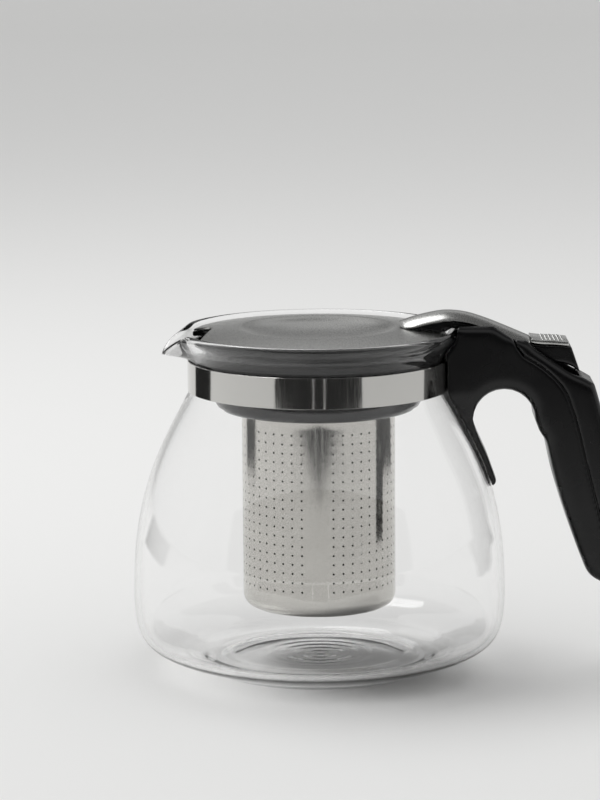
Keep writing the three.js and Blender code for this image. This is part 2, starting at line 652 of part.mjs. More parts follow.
// The pour notch over the spout: a slanted floor that ends in a round corner and a straight wall.
function pourNotch(extra, low, high) {
  const edge = LID_R + 6;
  const floor = -(LID_R - NOTCH_DEPTH) + extra;
  const shape = new THREE.Shape();
  shape.moveTo(-edge, -27);
  shape.lineTo(floor - 4.5, -23 - extra);
  shape.lineTo(floor, 3.5);
  shape.quadraticCurveTo(floor, 9.6 + extra, floor - 5, 9.6 + extra);
  shape.lineTo(-edge, 8.8 + extra);
  const geometry = new THREE.ExtrudeGeometry(shape, { depth: high - low, bevelEnabled: false, curveSegments: 6 });
  return solid(geometry.translate(0, 0, low));
}

const LID_SCREW_TOP = LID_TOP_Z + 1.5;
const LID_SCREW_HEAD_Z = LID_EDGE_Z - LID_SHEET - GAP - LID_BASE_THICKNESS - GAP;

function lidScrewPlaces() {
  const reach = DISH_R + LID_SCREW_SETBACK;
  return [[reach, -LID_SCREW_SPREAD], [reach, LID_SCREW_SPREAD]];
}

function drilled(body, radius) {
  const [low, high] = [LID_EDGE_Z - BEYOND, LID_EDGE_Z + BEYOND];
  return lidScrewPlaces().reduce((left, [x, y]) => left.subtract(bar([x, y, low], [x, y, high], radius)), body);
}

function lidPlate() {
  const top = lidPlateTop();
  const bottom = offset(top, -LID_SHEET).reverse();
  const disc = revolve([...top, ...bottom.slice(0, -1), [0, bottom.at(-1)[1]]]);
  return drilled(disc.subtract(pourNotch(0, RIM_Z - BEYOND, RIM_Z + BEYOND)), LID_SCREW_R + GAP);
}

function lidBase() {
  const top = LID_EDGE_Z - LID_SHEET - GAP;
  const skirtR = DISH_R + LID_SKIRT_SETBACK;
  const low = top - LID_BASE_THICKNESS;
  const flange = [[LID_BASE_R, low], [LID_BASE_R, top + 0.2], [LID_R - 2, top + 0.2], [DISH_R + 4, top]];
  const well = [[DISH_R - 1, top - 1.4], [0.4 * DISH_R, top - 3.6], [0, top - 3.6]];
  const dome = [[0, top - 5.4], [0.4 * DISH_R, top - 5.4], [DISH_R - 3, top - 3.3]];
  const under = [...dome, [DISH_R + 1.5, low], [skirtR - LID_SKIRT_WALL, low]];
  const wall = [[skirtR - LID_SKIRT_WALL, low - LID_SKIRT_DEPTH], [skirtR, low - LID_SKIRT_DEPTH], [skirtR, low]];
  const disc = revolve([...flange, ...well, ...under, ...wall]);
  return drilled(disc.subtract(pourNotch(LID_BASE_OVERHANG, RIM_Z - BEYOND, RIM_Z + BEYOND)), LID_SCREW_R + GAP);
}

function lidScrew([x, y]) {
  const head = bar([x, y, LID_SCREW_HEAD_Z - LID_SCREW_HEAD_DEPTH], [x, y, LID_SCREW_HEAD_Z], LID_SCREW_HEAD_R);
  return head.add(bar([x, y, LID_SCREW_HEAD_Z - 0.5], [x, y, LID_SCREW_TOP - GAP], LID_SCREW_R));
}

// ---------- infuser ----------
function infuserCollar() {
  const flare = offset(flareOutline(), GLASS_WALL + 2 * RUN_CLEARANCE).filter(([, z]) => z < COLLAR_TOP_Z - 1);
  const lipR = flare.at(-1)[0] + 0.3;
  const step = NECK_Z + 1;
  const floor = COLLAR_BOTTOM_Z + COLLAR_WALL;
  const outside = [
    [BASKET_R + GAP, COLLAR_BOTTOM_Z],
    [COLLAR_STEP_R - 3, COLLAR_BOTTOM_Z],
    [COLLAR_STEP_R - 0.9, COLLAR_BOTTOM_Z + 0.9],
    [COLLAR_STEP_R, COLLAR_BOTTOM_Z + 3],
    [COLLAR_STEP_R, step - 1],
    [COLLAR_R - 1, step],
    [COLLAR_R, step + 1],
    ...flare.slice(1),
    [lipR, COLLAR_TOP_Z],
  ];
  const inside = [
    [lipR - COLLAR_WALL, COLLAR_TOP_Z],
    [COLLAR_R - COLLAR_WALL, BAND_TOP_Z],
    [COLLAR_R - COLLAR_WALL, step + COLLAR_WALL],
    [COLLAR_STEP_R - COLLAR_WALL, step + COLLAR_WALL - 1.4],
    [COLLAR_STEP_R - COLLAR_WALL, floor],
    [BASKET_R + GAP, floor],
  ];
  return revolve([...outside, ...inside]).subtract(pourNotch(2, BAND_TOP_Z + 2, RIM_Z + BEYOND));
}

function infuserBasket() {
  const r = BASKET_R;
  const t = BASKET_SHEET;
  const c = BASKET_CORNER;
  const flangeR = COLLAR_STEP_R - COLLAR_WALL - GAP;
  const corner = arc(r - c, BASKET_BOTTOM_Z + c, c, -90, 0, 4);
  const inner = arc(r - c, BASKET_BOTTOM_Z + c, c - t, 0, -90, 4);
  const rim = [[r, BASKET_RIM_Z], [flangeR, BASKET_RIM_Z], [flangeR, BASKET_RIM_Z + t], [r - t, BASKET_RIM_Z + t]];
  return revolve([[0, BASKET_BOTTOM_Z], ...corner, ...rim, ...inner, [0, BASKET_BOTTOM_Z + t]]);
}

// ---------- the teapot ----------
function jugGroup() {
  const group = new THREE.Group();
  group.add(toMesh("glass_body", glassBody(), GLASS));
  group.add(toMesh("neck_band", neckBand(), MIRROR_STEEL));
  group.add(toMesh("band_screw", bandScrew(), ZINC_STEEL));
  group.add(toMesh("band_nut", bandNut(), ZINC_STEEL));
  group.add(toMesh("handle_body", handleBody(), BLACK_PLASTIC));
  group.add(toMesh("handle_back_cover", handleBackCover(), BLACK_PLASTIC));
  group.add(toMesh("cover_screw_upper", coverScrew(COVER_SCREWS.upper), ZINC_STEEL));
  group.add(toMesh("cover_screw_lower", coverScrew(COVER_SCREWS.lower), ZINC_STEEL));
  group.add(toMesh("hinge_pin", hingePin(), ZINC_STEEL));
  return group;
}

function lidGroup() {
  const group = new THREE.Group();
  const [left, right] = lidScrewPlaces();
  group.add(toMesh("lid_lever", lidLever(), BLACK_PLASTIC));
  group.add(toMesh("arm_cover", armCover(), SATIN_STEEL));
  group.add(toMesh("thumb_pad", thumbPad(), PAD_METAL));
  group.add(toMesh("lid_plate", lidPlate(), SATIN_STEEL));
  group.add(toMesh("lid_base", lidBase(), BLACK_PLASTIC));
  group.add(toMesh("lid_screw_left", lidScrew(left), ZINC_STEEL));
  group.add(toMesh("lid_screw_right", lidScrew(right), ZINC_STEEL));
  return group;
}

function infuserGroup() {
  const group = new THREE.Group();
  group.add(toMesh("infuser_collar", infuserCollar(), BLACK_PLASTIC));
  group.add(toMesh("infuser_basket", infuserBasket(), SATIN_STEEL));
  return group;
}

const teapot = new THREE.Group();
teapot.add(jugGroup(), lidGroup(), infuserGroup());

export default teapot;
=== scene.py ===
"""Looks of a glass teapot with a hanging steel infuser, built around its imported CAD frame.

The pieces' sizes are in millimetres and are turned to metres where a mesh is made.
"""

import json
import logging
import math
from dataclasses import dataclass, field
from enum import Enum
from typing import Any, Callable, Sequence

import bpy
from mathutils import Euler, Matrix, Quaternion, Vector
from mathutils.bvhtree import BVHTree

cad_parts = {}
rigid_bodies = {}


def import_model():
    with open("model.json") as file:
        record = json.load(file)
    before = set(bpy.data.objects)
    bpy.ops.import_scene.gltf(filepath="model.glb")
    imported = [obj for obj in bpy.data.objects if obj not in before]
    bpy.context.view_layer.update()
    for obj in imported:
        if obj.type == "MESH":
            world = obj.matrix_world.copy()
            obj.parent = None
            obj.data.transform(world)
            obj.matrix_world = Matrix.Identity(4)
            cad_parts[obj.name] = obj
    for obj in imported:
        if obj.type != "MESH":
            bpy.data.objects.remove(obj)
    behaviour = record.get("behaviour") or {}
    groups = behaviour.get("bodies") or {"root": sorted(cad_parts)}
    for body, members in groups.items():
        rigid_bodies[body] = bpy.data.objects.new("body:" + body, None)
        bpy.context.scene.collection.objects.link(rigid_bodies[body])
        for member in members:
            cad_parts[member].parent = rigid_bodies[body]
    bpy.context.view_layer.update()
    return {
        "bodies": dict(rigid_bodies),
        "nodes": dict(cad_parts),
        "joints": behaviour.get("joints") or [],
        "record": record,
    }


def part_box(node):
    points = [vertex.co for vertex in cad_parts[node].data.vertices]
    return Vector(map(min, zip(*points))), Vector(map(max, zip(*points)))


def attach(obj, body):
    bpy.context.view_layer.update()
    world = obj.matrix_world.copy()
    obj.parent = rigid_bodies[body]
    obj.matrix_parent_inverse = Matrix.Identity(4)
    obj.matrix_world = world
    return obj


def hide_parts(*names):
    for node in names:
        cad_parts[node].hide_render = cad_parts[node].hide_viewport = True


MM = 0.001
MERGE_M = 1e-6
NOISE_LOW, NOISE_HIGH = 0.3, 0.7
LOG = logging.getLogger("teapot")

Point2 = tuple[float, float]
Point3 = tuple[float, float, float]
Piece = bpy.types.Object
Material = bpy.types.Material
Tree = bpy.types.NodeTree
Socket = bpy.types.NodeSocket


class Body(Enum):
    """The moving bodies of the frame."""

    JUG = "jug"
    LID = "lid"
    INFUSER = "infuser"


class Slot(Enum):
    """The material slots of the record."""

    GLASS = "borosilicate_glass"
    POLISHED = "polished_steel"
    SATIN = "satin_steel"
    BASKET = "basket_steel"
    EMBOSSED = "embossed_steel"
    ZINC = "zinc_steel"
    ABS = "black_abs"
    POLYPROPYLENE = "gloss_black_pp"


def node_box(node: str) -> tuple[Point3, Point3]:
    """A CAD node's box at rest.

    Args:
        node: the node's name.

    Returns:
        Its lowest and highest corner in millimetres.
    """
    low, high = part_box(node)
    return tuple(c / MM for c in low), tuple(c / MM for c in high)


# ---------- outlines ----------


def bezier(a: Point2, b: Point2, c: Point2, d: Point2, steps: int) -> list[Point2]:
    """Points along a cubic curve.

    Args:
        a, b, c, d: the curve's four control points.
        steps: how many equal steps the curve is cut into.

    Returns:
        steps + 1 points from a to d.
    """
    points = []
    for i in range(steps + 1):
        t = i / steps
        u = 1 - t
        weights = (u**3, 3 * u * u * t, 3 * u * t * t, t**3)
        points.append(tuple(sum(w * p[k] for w, p in zip(weights, (a, b, c, d))) for k in range(2)))
    return points


def smooth_path(points: Sequence[Point2], steps: int) -> list[Point2]:
    """A smooth curve through all the points.

    Args:
        points: the places that the curve passes.
        steps: how many steps the whole curve is cut into.

    Returns:
        steps + 1 points along the curve.
    """
    last = len(points) - 1
    path = []
    for i in range(steps + 1):
        along = last * i / steps
        k = min(int(along), last - 1)
        t = along - k
        near = [points[min(max(k + j, 0), last)] for j in (-1, 0, 1, 2)]
        weights = (2 * t * t - t - t**3, 2 - 5 * t * t + 3 * t**3, t + 4 * t * t - 3 * t**3, t**3 - t * t)
        path.append(tuple(sum(w * p[c] for w, p in zip(weights, near)) / 2 for c in range(2)))
    return path


def arc(centre: Point2, radius: float, start: float, end: float, steps: int) -> list[Point2]:
    """Points on part of a circle.

    Args:
        centre: the circle's centre.
        radius: its radius.
        start, end: the first and last angle in degrees.
        steps: how many steps the arc is cut into.

    Returns:
        steps + 1 points.
    """
    turns = [math.radians(start + (end - start) * i / steps) for i in range(steps + 1)]
    return [(centre[0] + radius * math.cos(t), centre[1] + radius * math.sin(t)) for t in turns]


def offset(points: Sequence[Point2], distance: float) -> list[Point2]:
    """An open outline moved sideways.

    Args:
        points: the outline.
        distance: how far it moves to its left.

    Returns:
        As many points as it was given.
    """
    moved = []
    for i, (x, z) in enumerate(points):
        before, after = points[max(i - 1, 0)], points[min(i + 1, len(points) - 1)]
        across, up = after[0] - before[0], after[1] - before[1]
        share = distance / math.hypot(across, up)
        moved.append((x - up * share, z + across * share))
    return moved


# ---------- modelling ----------


def clear_selection() -> None:
    """Leaves edit mode and deselects every object."""
    active = bpy.context.view_layer.objects.active
    if active is not None and active.mode != "OBJECT":
        bpy.ops.object.mode_set(mode="OBJECT")
    bpy.ops.object.select_all(action="DESELECT")


def pick(piece: Piece) -> None:
    """Makes a piece the only selected and active object.

    Args:
        piece: the object.
    """
    clear_selection()
    piece.select_set(True)
    bpy.context.view_layer.objects.active = piece


def close() -> None:
    """Leaves edit mode."""
    bpy.ops.object.mode_set(mode="OBJECT")


def open_all(piece: Piece) -> None:
    """Opens a piece in edit mode with all of it selected.

    Args:
        piece: the mesh.
    """
    pick(piece)
    bpy.ops.object.mode_set(mode="EDIT")
    bpy.ops.mesh.select_all(action="SELECT")


def extrude(x: float, y: float, z: float) -> None:
    """Extrudes what is selected by a step in millimetres."""
    bpy.ops.mesh.extrude_region_move(TRANSFORM_OT_translate={"value": (x * MM, y * MM, z * MM)})


def clean_faces(piece: Piece, outward: bool = True) -> None:
    """Merges doubled points and turns every face outwards.

    Args:
        piece: a closed mesh.
        outward: whether the faces are turned as well.
    """
    open_all(piece)
    bpy.ops.mesh.remove_doubles(threshold=MERGE_M)
    if outward:
        bpy.ops.mesh.normals_make_consistent(inside=False)
    close()


def smooth_shading(piece: Piece, degrees: float = 40) -> None:
    """Shades a piece smooth up to an angle between faces."""
    pick(piece)
    bpy.ops.object.shade_smooth_by_angle(angle=math.radians(degrees))


def modify(piece: Piece, kind: str, **settings: Any) -> None:
    """Adds a modifier to a piece and applies it.

    Args:
        piece: the object.
        kind: the modifier's type.
        settings: its properties.
    """
    pick(piece)
    modifier = piece.modifiers.new("shape", kind)
    for name, value in settings.items():
        setattr(modifier, name, value)
    bpy.ops.object.modifier_apply(modifier=modifier.name)


def drawn_wire(name: str, points: Sequence[Point3]) -> Piece:
    """Draws a line through points, one vertex extruded from each to the next.

    Args:
        name: the new object's name.
        points: places in metres.

    Returns:
        An object that holds the line, in edit mode with all of it selected.
    """
    clear_selection()
    bpy.ops.mesh.primitive_plane_add(size=MM, location=(0, 0, 0))
    wire = bpy.context.object
    wire.name = wire.data.name = name
    bpy.ops.object.mode_set(mode="EDIT")
    bpy.ops.mesh.select_all(action="SELECT")
    bpy.ops.mesh.merge(type="CENTER")
    bpy.ops.transform.translate(value=points[0])
    for here, there in zip(points, points[1:]):
        step = Vector(there) - Vector(here)
        bpy.ops.mesh.extrude_vertices_move(TRANSFORM_OT_translate={"value": step})
    bpy.ops.mesh.select_all(action="SELECT")
    return wire


def turned(name: str, outline: Sequence[Point2], steps: int = 160) -> Piece:
    """Spins a closed outline round the jug's axis.

    Args:
        name: the new object's name.
        outline: radius and height of each point; it may start and end on the axis.
        steps: sides of the full turn.

    Returns:
        A closed, smooth shaded mesh.
    """
    points = [(r * MM, 0.0, z * MM) for r, z in outline]
    if outline[0][0] > 1e-6 or outline[-1][0] > 1e-6:
        points.append(points[0])
    piece = drawn_wire(name, points)
    bpy.ops.mesh.spin(steps=steps, angle=2 * math.pi, center=(0, 0, 0), axis=(0, 0, 1))
    clean_faces(piece)
    smooth_shading(piece)
    return piece


def drawn_face(name: str, points: Sequence[Point3]) -> Piece:
    """Draws a closed outline and fills it with one face.

    Args:
        name: the new object's name.
        points: its corners in metres.

    Returns:
        An object that holds the face, in edit mode with all of it selected.
    """
    piece = drawn_wire(name, [*points, points[0]])
    bpy.ops.mesh.remove_doubles(threshold=MERGE_M)
    bpy.ops.mesh.edge_face_add()
    return piece


def round_edges(piece: Piece, width_mm: float, segments: int = 2, degrees: float = 50) -> None:
    """Bevels the edges that are sharper than an angle.

    Args:
        piece: the object.
        width_mm: the bevel's width in millimetres.
        segments: faces across the bevel.
        degrees: the least angle of an edge that is bevelled.
    """
    modify(
        piece,
        "BEVEL",
        width=width_mm * MM,
        segments=segments,
        limit_method="ANGLE",
        angle_limit=math.radians(degrees),
    )


def slab(name: str, outline: Sequence[Point2], low: float, high: float) -> Piece:
    """A flat plate of any plan, with its thickness along Z.

    Args:
        name: the new object's name.
        outline: its plan in X and Y.
        low, high: its lowest and highest level.

    Returns:
        A closed mesh.
    """
    points = [(x * MM, y * MM, low * MM) for x, y in outline]
    piece = drawn_face(name, points)
    extrude(0, 0, high - low)
    clean_faces(piece)
    return piece


def cut(piece: Piece, cutter: Piece) -> None:
    """Takes one closed mesh out of another and removes the first."""
    modify(piece, "BOOLEAN", operation="DIFFERENCE", object=cutter, solver="EXACT")
    bpy.data.objects.remove(cutter)


def copy_of(node: Piece, name: str) -> Piece:
    """A CAD node's mesh as a new object with its points merged.

    Args:
        node: the CAD node.
        name: the new object's name.

    Returns:
        The copy.
    """
    piece = bpy.data.objects.new(name, node.data.copy())
    bpy.context.scene.collection.objects.link(piece)
    clean_faces(piece, outward=False)
    return piece


def surface_tree(node: Piece) -> BVHTree:
    """A search tree over a mesh's faces."""
    mesh = node.data
    return BVHTree.FromPolygons([v.co for v in mesh.vertices], [p.vertices for p in mesh.polygons])


def softened(
    node: Piece,
    name: str,
    neighbours: Sequence[Piece],
    voxel: float,
    passes: int,
    crisp: float = 1.4,
    soft: float = 4.0,
    slot: Point2 = (0.0, 0.0),
) -> Piece:
    """A CAD node's copy with an even mesh and the round edges of a moulded part.

    Args:
        node: the CAD node.
        name: the new object's name.
        neighbours: nodes that it meets; its faces beside them keep their shape.
        voxel: spacing of the new mesh.
        passes: smoothing passes away from the neighbours.
        crisp: distance from a neighbour up to which nothing is smoothed.
        soft: distance from which the smoothing is full.
        slot: half the width and the lowest level of a lever's slot, which isn't smoothed either.

    Returns:
        The softened piece.
    """
    piece = copy_of(node, name)
    modify(piece, "REMESH", mode="VOXEL", voxel_size=voxel * MM, use_smooth_shade=True)
    trees = [surface_tree(other) for other in neighbours]
    group = piece.vertex_groups.new(name="round")
    for vertex in piece.data.vertices:
        found = [tree.find_nearest(vertex.co, soft * MM)[3] for tree in trees]
        nearest = min([d for d in found if d is not None], default=soft * MM)
        if abs(vertex.co.y) < slot[0] * MM and vertex.co.z > slot[1] * MM:
            nearest = 0.0
        share = min(max((nearest / MM - crisp) / (soft - crisp), 0.0), 1.0)
        group.add([vertex.index], share * share * (3 - 2 * share), "REPLACE")
    modify(piece, "SMOOTH", factor=0.5, iterations=3)
    modify(piece, "SMOOTH", factor=0.5, iterations=passes, vertex_group="round")
    pick(piece)
    bpy.ops.object.shade_smooth()
    return piece


# ---------- finishes ----------


def linear(hex_colour: str) -> tuple[float, float, float, float]:
    """Turns an sRGB hex colour to linear red, green, blue and alpha."""
    parts = [int(hex_colour[i : i + 2], 16) / 255 for i in (1, 3, 5)]
    return (*[c / 12.92 if c <= 0.04045 else ((c + 0.055) / 1.055) ** 2.4 for c in parts], 1.0)


def add_node(tree: Tree, kind: str, inputs: dict[str, Any]) -> bpy.types.Node:
    """Adds a node with its values and links.

    Args:
        tree: the material's nodes.
        kind: the node's type.
        inputs: a value, or a socket to link, for each input by name.

    Returns:
        The new node.
    """
    node = tree.nodes.new(kind)
    for name, value in inputs.items():
        if isinstance(value, Socket):
            tree.links.new(value, node.inputs[name])
        else:
            node.inputs[name].default_value = value
    return node


def new_material(name: str) -> tuple[Material, Tree]:
    """An empty node material.

    Args:
        name: the new material's name.

    Returns:
        The material and its node tree.
    """
    material = bpy.data.materials.new(name)
    material.use_nodes = True
    material.node_tree.nodes.clear()
    return material, material.node_tree


def finish_output(tree: Tree, shader: bpy.types.Node) -> None:
    """Links a shader to the material's output."""
    add_node(tree, "ShaderNodeOutputMaterial", {"Surface": shader.outputs[0]})


def place_on(tree: Tree) -> Socket:
    """The place on the piece, in metres."""
    return add_node(tree, "ShaderNodeTexCoord", {}).outputs["Object"]


def noise(tree: Tree, place: Socket, size_mm: float, detail: float = 2.0, roughness: float = 0.5) -> Socket:
    """Adds a noise texture.

    Args:
        tree: the material's nodes.
        place: where on the piece it is read.
        size_mm: the size of its spots.
        detail: how many finer layers it has.
        roughness: how strong the finer layers are.

    Returns:
        Its value.
    """
    inputs = {"Vector": place, "Scale": 1 / (size_mm * MM), "Detail": detail, "Roughness": roughness}
    return add_node(tree, "ShaderNodeTexNoise", inputs).outputs["Fac"]


def bump(tree: Tree, height: Socket, height_mm: float, strength: float = 1.0) -> Socket:
    """Adds a bump.

    Args:
        tree: the material's nodes.
        height: the texture that it follows.
        height_mm: how high that texture stands.
        strength: the share of it that shows.

    Returns:
        The bent normal.
    """
    inputs = {"Strength": strength, "Distance": height_mm * MM, "Height": height}
    return add_node(tree, "ShaderNodeBump", inputs).outputs["Normal"]


def spread(tree: Tree, value: Socket, middle: float, reach: float) -> Socket:
    """Spreads a noise about a value.

    Args:
        tree: the material's nodes.
        value: the noise.
        middle: the value that the result is about.
        reach: how far the result goes from it.

    Returns:
        The result.
    """
    inputs = {"Value": value, "From Min": NOISE_LOW, "From Max": NOISE_HIGH}
    inputs |= {"To Min": middle - reach, "To Max": middle + reach}
    return add_node(tree, "ShaderNodeMapRange", inputs).outputs["Result"]


@dataclass(frozen=True)
class BorosilicateGlass:
    """Blown and pressed borosilicate glass: clear, with the slow waves of a mould that catch the light."""

    colour: str = "#FFFFFF"
    ior: float = 1.45
    wave_mm: float = 26.0
    wave_height_mm: float = 0.02
    shadow_colour: str = "#F6F6F6"

    def material(self) -> Material:
        """The glass, whose thin clear walls hardly dim the light that passes, so that its shadow stays pale.

        Returns:
            The material.
        """
        material, tree = new_material("borosilicate_glass")
        waves = noise(tree, place_on(tree), self.wave_mm, 1.0, 0.4)
        inputs = {
            "Base Color": linear(self.colour),
            "Roughness": 0.0,
            "IOR": self.ior,
            "Transmission Weight": 1.0,
            "Normal": bump(tree, waves, self.wave_height_mm),
        }
        shader = add_node(tree, "ShaderNodeBsdfPrincipled", inputs)
        clear = add_node(tree, "ShaderNodeBsdfTransparent", {"Color": linear(self.shadow_colour)})
        rays = add_node(tree, "ShaderNodeLightPath", {})
        mixed = add_node(tree, "ShaderNodeMixShader", {"Fac": rays.outputs["Is Shadow Ray"]})
        tree.links.new(shader.outputs[0], mixed.inputs[1])
        tree.links.new(clear.outputs[0], mixed.inputs[2])
        finish_output(tree, mixed)
        return material


@dataclass(frozen=True)
class Steel:
    """Stainless steel with one surface: polished, bead blasted, drawn or plated."""

    name: str
    colour: str
    roughness: float
    roughness_spread: float
    grain_mm: Point3
    grain_height_mm: float
    tone_spread: float = 0.04
    cloud_mm: float = 14.0

    def material(self) -> Material:
        """The steel, with grain in its bump and roughness and soft clouds in its tone.

        Returns:
            The material.
        """
        material, tree = new_material(self.name)
        place = place_on(tree)
        scale = tuple(1 / g for g in self.grain_mm)
        stretched = add_node(tree, "ShaderNodeMapping", {"Vector": place, "Scale": scale})
        grain = noise(tree, stretched.outputs["Vector"], 1.0, 3.0, 0.6)
        tone = {"Fac": noise(tree, place, self.cloud_mm)}
        for name, side in (("Color1", -1), ("Color2", 1)):
            tone[name] = [*(c * (1 + side * self.tone_spread) for c in linear(self.colour)[:3]), 1.0]
        inputs = {
            "Base Color": add_node(tree, "ShaderNodeMixRGB", tone).outputs["Color"],
            "Metallic": 1.0,
            "Roughness": spread(tree, grain, self.roughness, self.roughness_spread),
            "Normal": bump(tree, grain, self.grain_height_mm),
        }
        finish_output(tree, add_node(tree, "ShaderNodeBsdfPrincipled", inputs))
        return material


@dataclass(frozen=True)
class MouldedPlastic:
    """Injection moulded black plastic: nearly black, with the fine skin of its mould in the gloss."""

    name: str
    colour: str
    roughness: float
    skin_mm: float
    skin_height_mm: float
    ior: float
    wear_mm: float = 22.0
    wear_share: float = 0.15

    def material(self) -> Material:
        """The plastic, a little more and less glossy from place to place.

        Returns:
            The material.
        """
        material, tree = new_material(self.name)
        place = place_on(tree)
        wear = noise(tree, place, self.wear_mm, 3.0, 0.6)
        inputs = {
            "Base Color": linear(self.colour),
            "Roughness": spread(tree, wear, self.roughness, self.roughness * self.wear_share),
            "IOR": self.ior,
            "Normal": bump(tree, noise(tree, place, self.skin_mm), self.skin_height_mm),
        }
        finish_output(tree, add_node(tree, "ShaderNodeBsdfPrincipled", inputs))
        return material


@dataclass
class Finishes:
    """Every finish of the teapot, made once and shared."""

    made: dict[Slot, Material] = field(default_factory=dict)

    def __post_init__(self) -> None:
        """Makes the materials."""
        recipes = {
            Slot.GLASS: BorosilicateGlass(),
            # Rolled strip, buffed to a mirror: sharp reflections, with faint upright polishing lines.
            Slot.POLISHED: Steel("polished_stainless_strip", "#CBCAC7", 0.09, 0.03, (0.5, 0.5, 9.0), 0.0015, 0.03),
            # Bead blasted sheet: no direction, a soft grey shine with a fine sparkle.
            Slot.SATIN: Steel("bead_blasted_stainless", "#B2B2B0", 0.28, 0.07, (0.4, 0.4, 0.4), 0.02, 0.03),
            # Deep drawn cup: upright drawing lines that stretch the reflections.
            Slot.BASKET: Steel("deep_drawn_stainless", "#C9C7C2", 0.13, 0.03, (0.35, 0.35, 6.0), 0.0025, 0.05),
            # Stamped and plated sheet under the thumb.
            Slot.EMBOSSED: Steel("embossed_bright_sheet", "#C8C8C6", 0.24, 0.05, (0.4, 0.4, 0.4), 0.006),
            # Zinc plated screws: dull, slightly blotched.
            Slot.ZINC: Steel("zinc_plated_steel", "#B4B6B4", 0.38, 0.08, (0.6, 0.6, 0.6), 0.008, 0.08, 3.0),
            # Semi-gloss ABS handle.
            Slot.ABS: MouldedPlastic("black_abs", "#070708", 0.27, 0.5, 0.004, 1.43),
            # Glossy polypropylene in the neck and under the lid.
            Slot.POLYPROPYLENE: MouldedPlastic("gloss_black_polypropylene", "#0B0B0C", 0.16, 0.9, 0.003, 1.49),
        }
        self.made = {slot: recipe.material() for slot, recipe in recipes.items()}

    def dress(self, piece: Piece, slot: Slot) -> None:
        """Gives a piece one finish all over."""
        piece.data.materials.clear()
        piece.data.materials.append(self.made[slot])


# ---------- the teapot ----------


@dataclass
class Assembly:
    """What every sub-assembly shares: the frame, the finishes and the list of its pieces."""

    frame: dict[str, Any]
    finishes: Finishes

    def place(self, piece: Piece, body: Body, slot: Slot, *nodes: str) -> Piece:
        """Dresses a new piece and ties it to the frame.

        Args:
            piece: the finished piece.
            body: the body that it rides on.
            slot: its finish.
            nodes: the CAD nodes that it stands for.

        Returns:
            The piece.
        """
        self.finishes.dress(piece, slot)
        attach(piece, body.value)
        if nodes:
            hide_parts(*nodes)
        LOG.info("%s rides on %s", piece.name, body.value)
        return piece

    def keep(self, node: str, slot: Slot) -> None:
        """Keeps a CAD node's own shape and gives it its finish."""
        self.finishes.dress(self.frame["nodes"][node], slot)
        LOG.info("%s keeps its CAD shape", node)


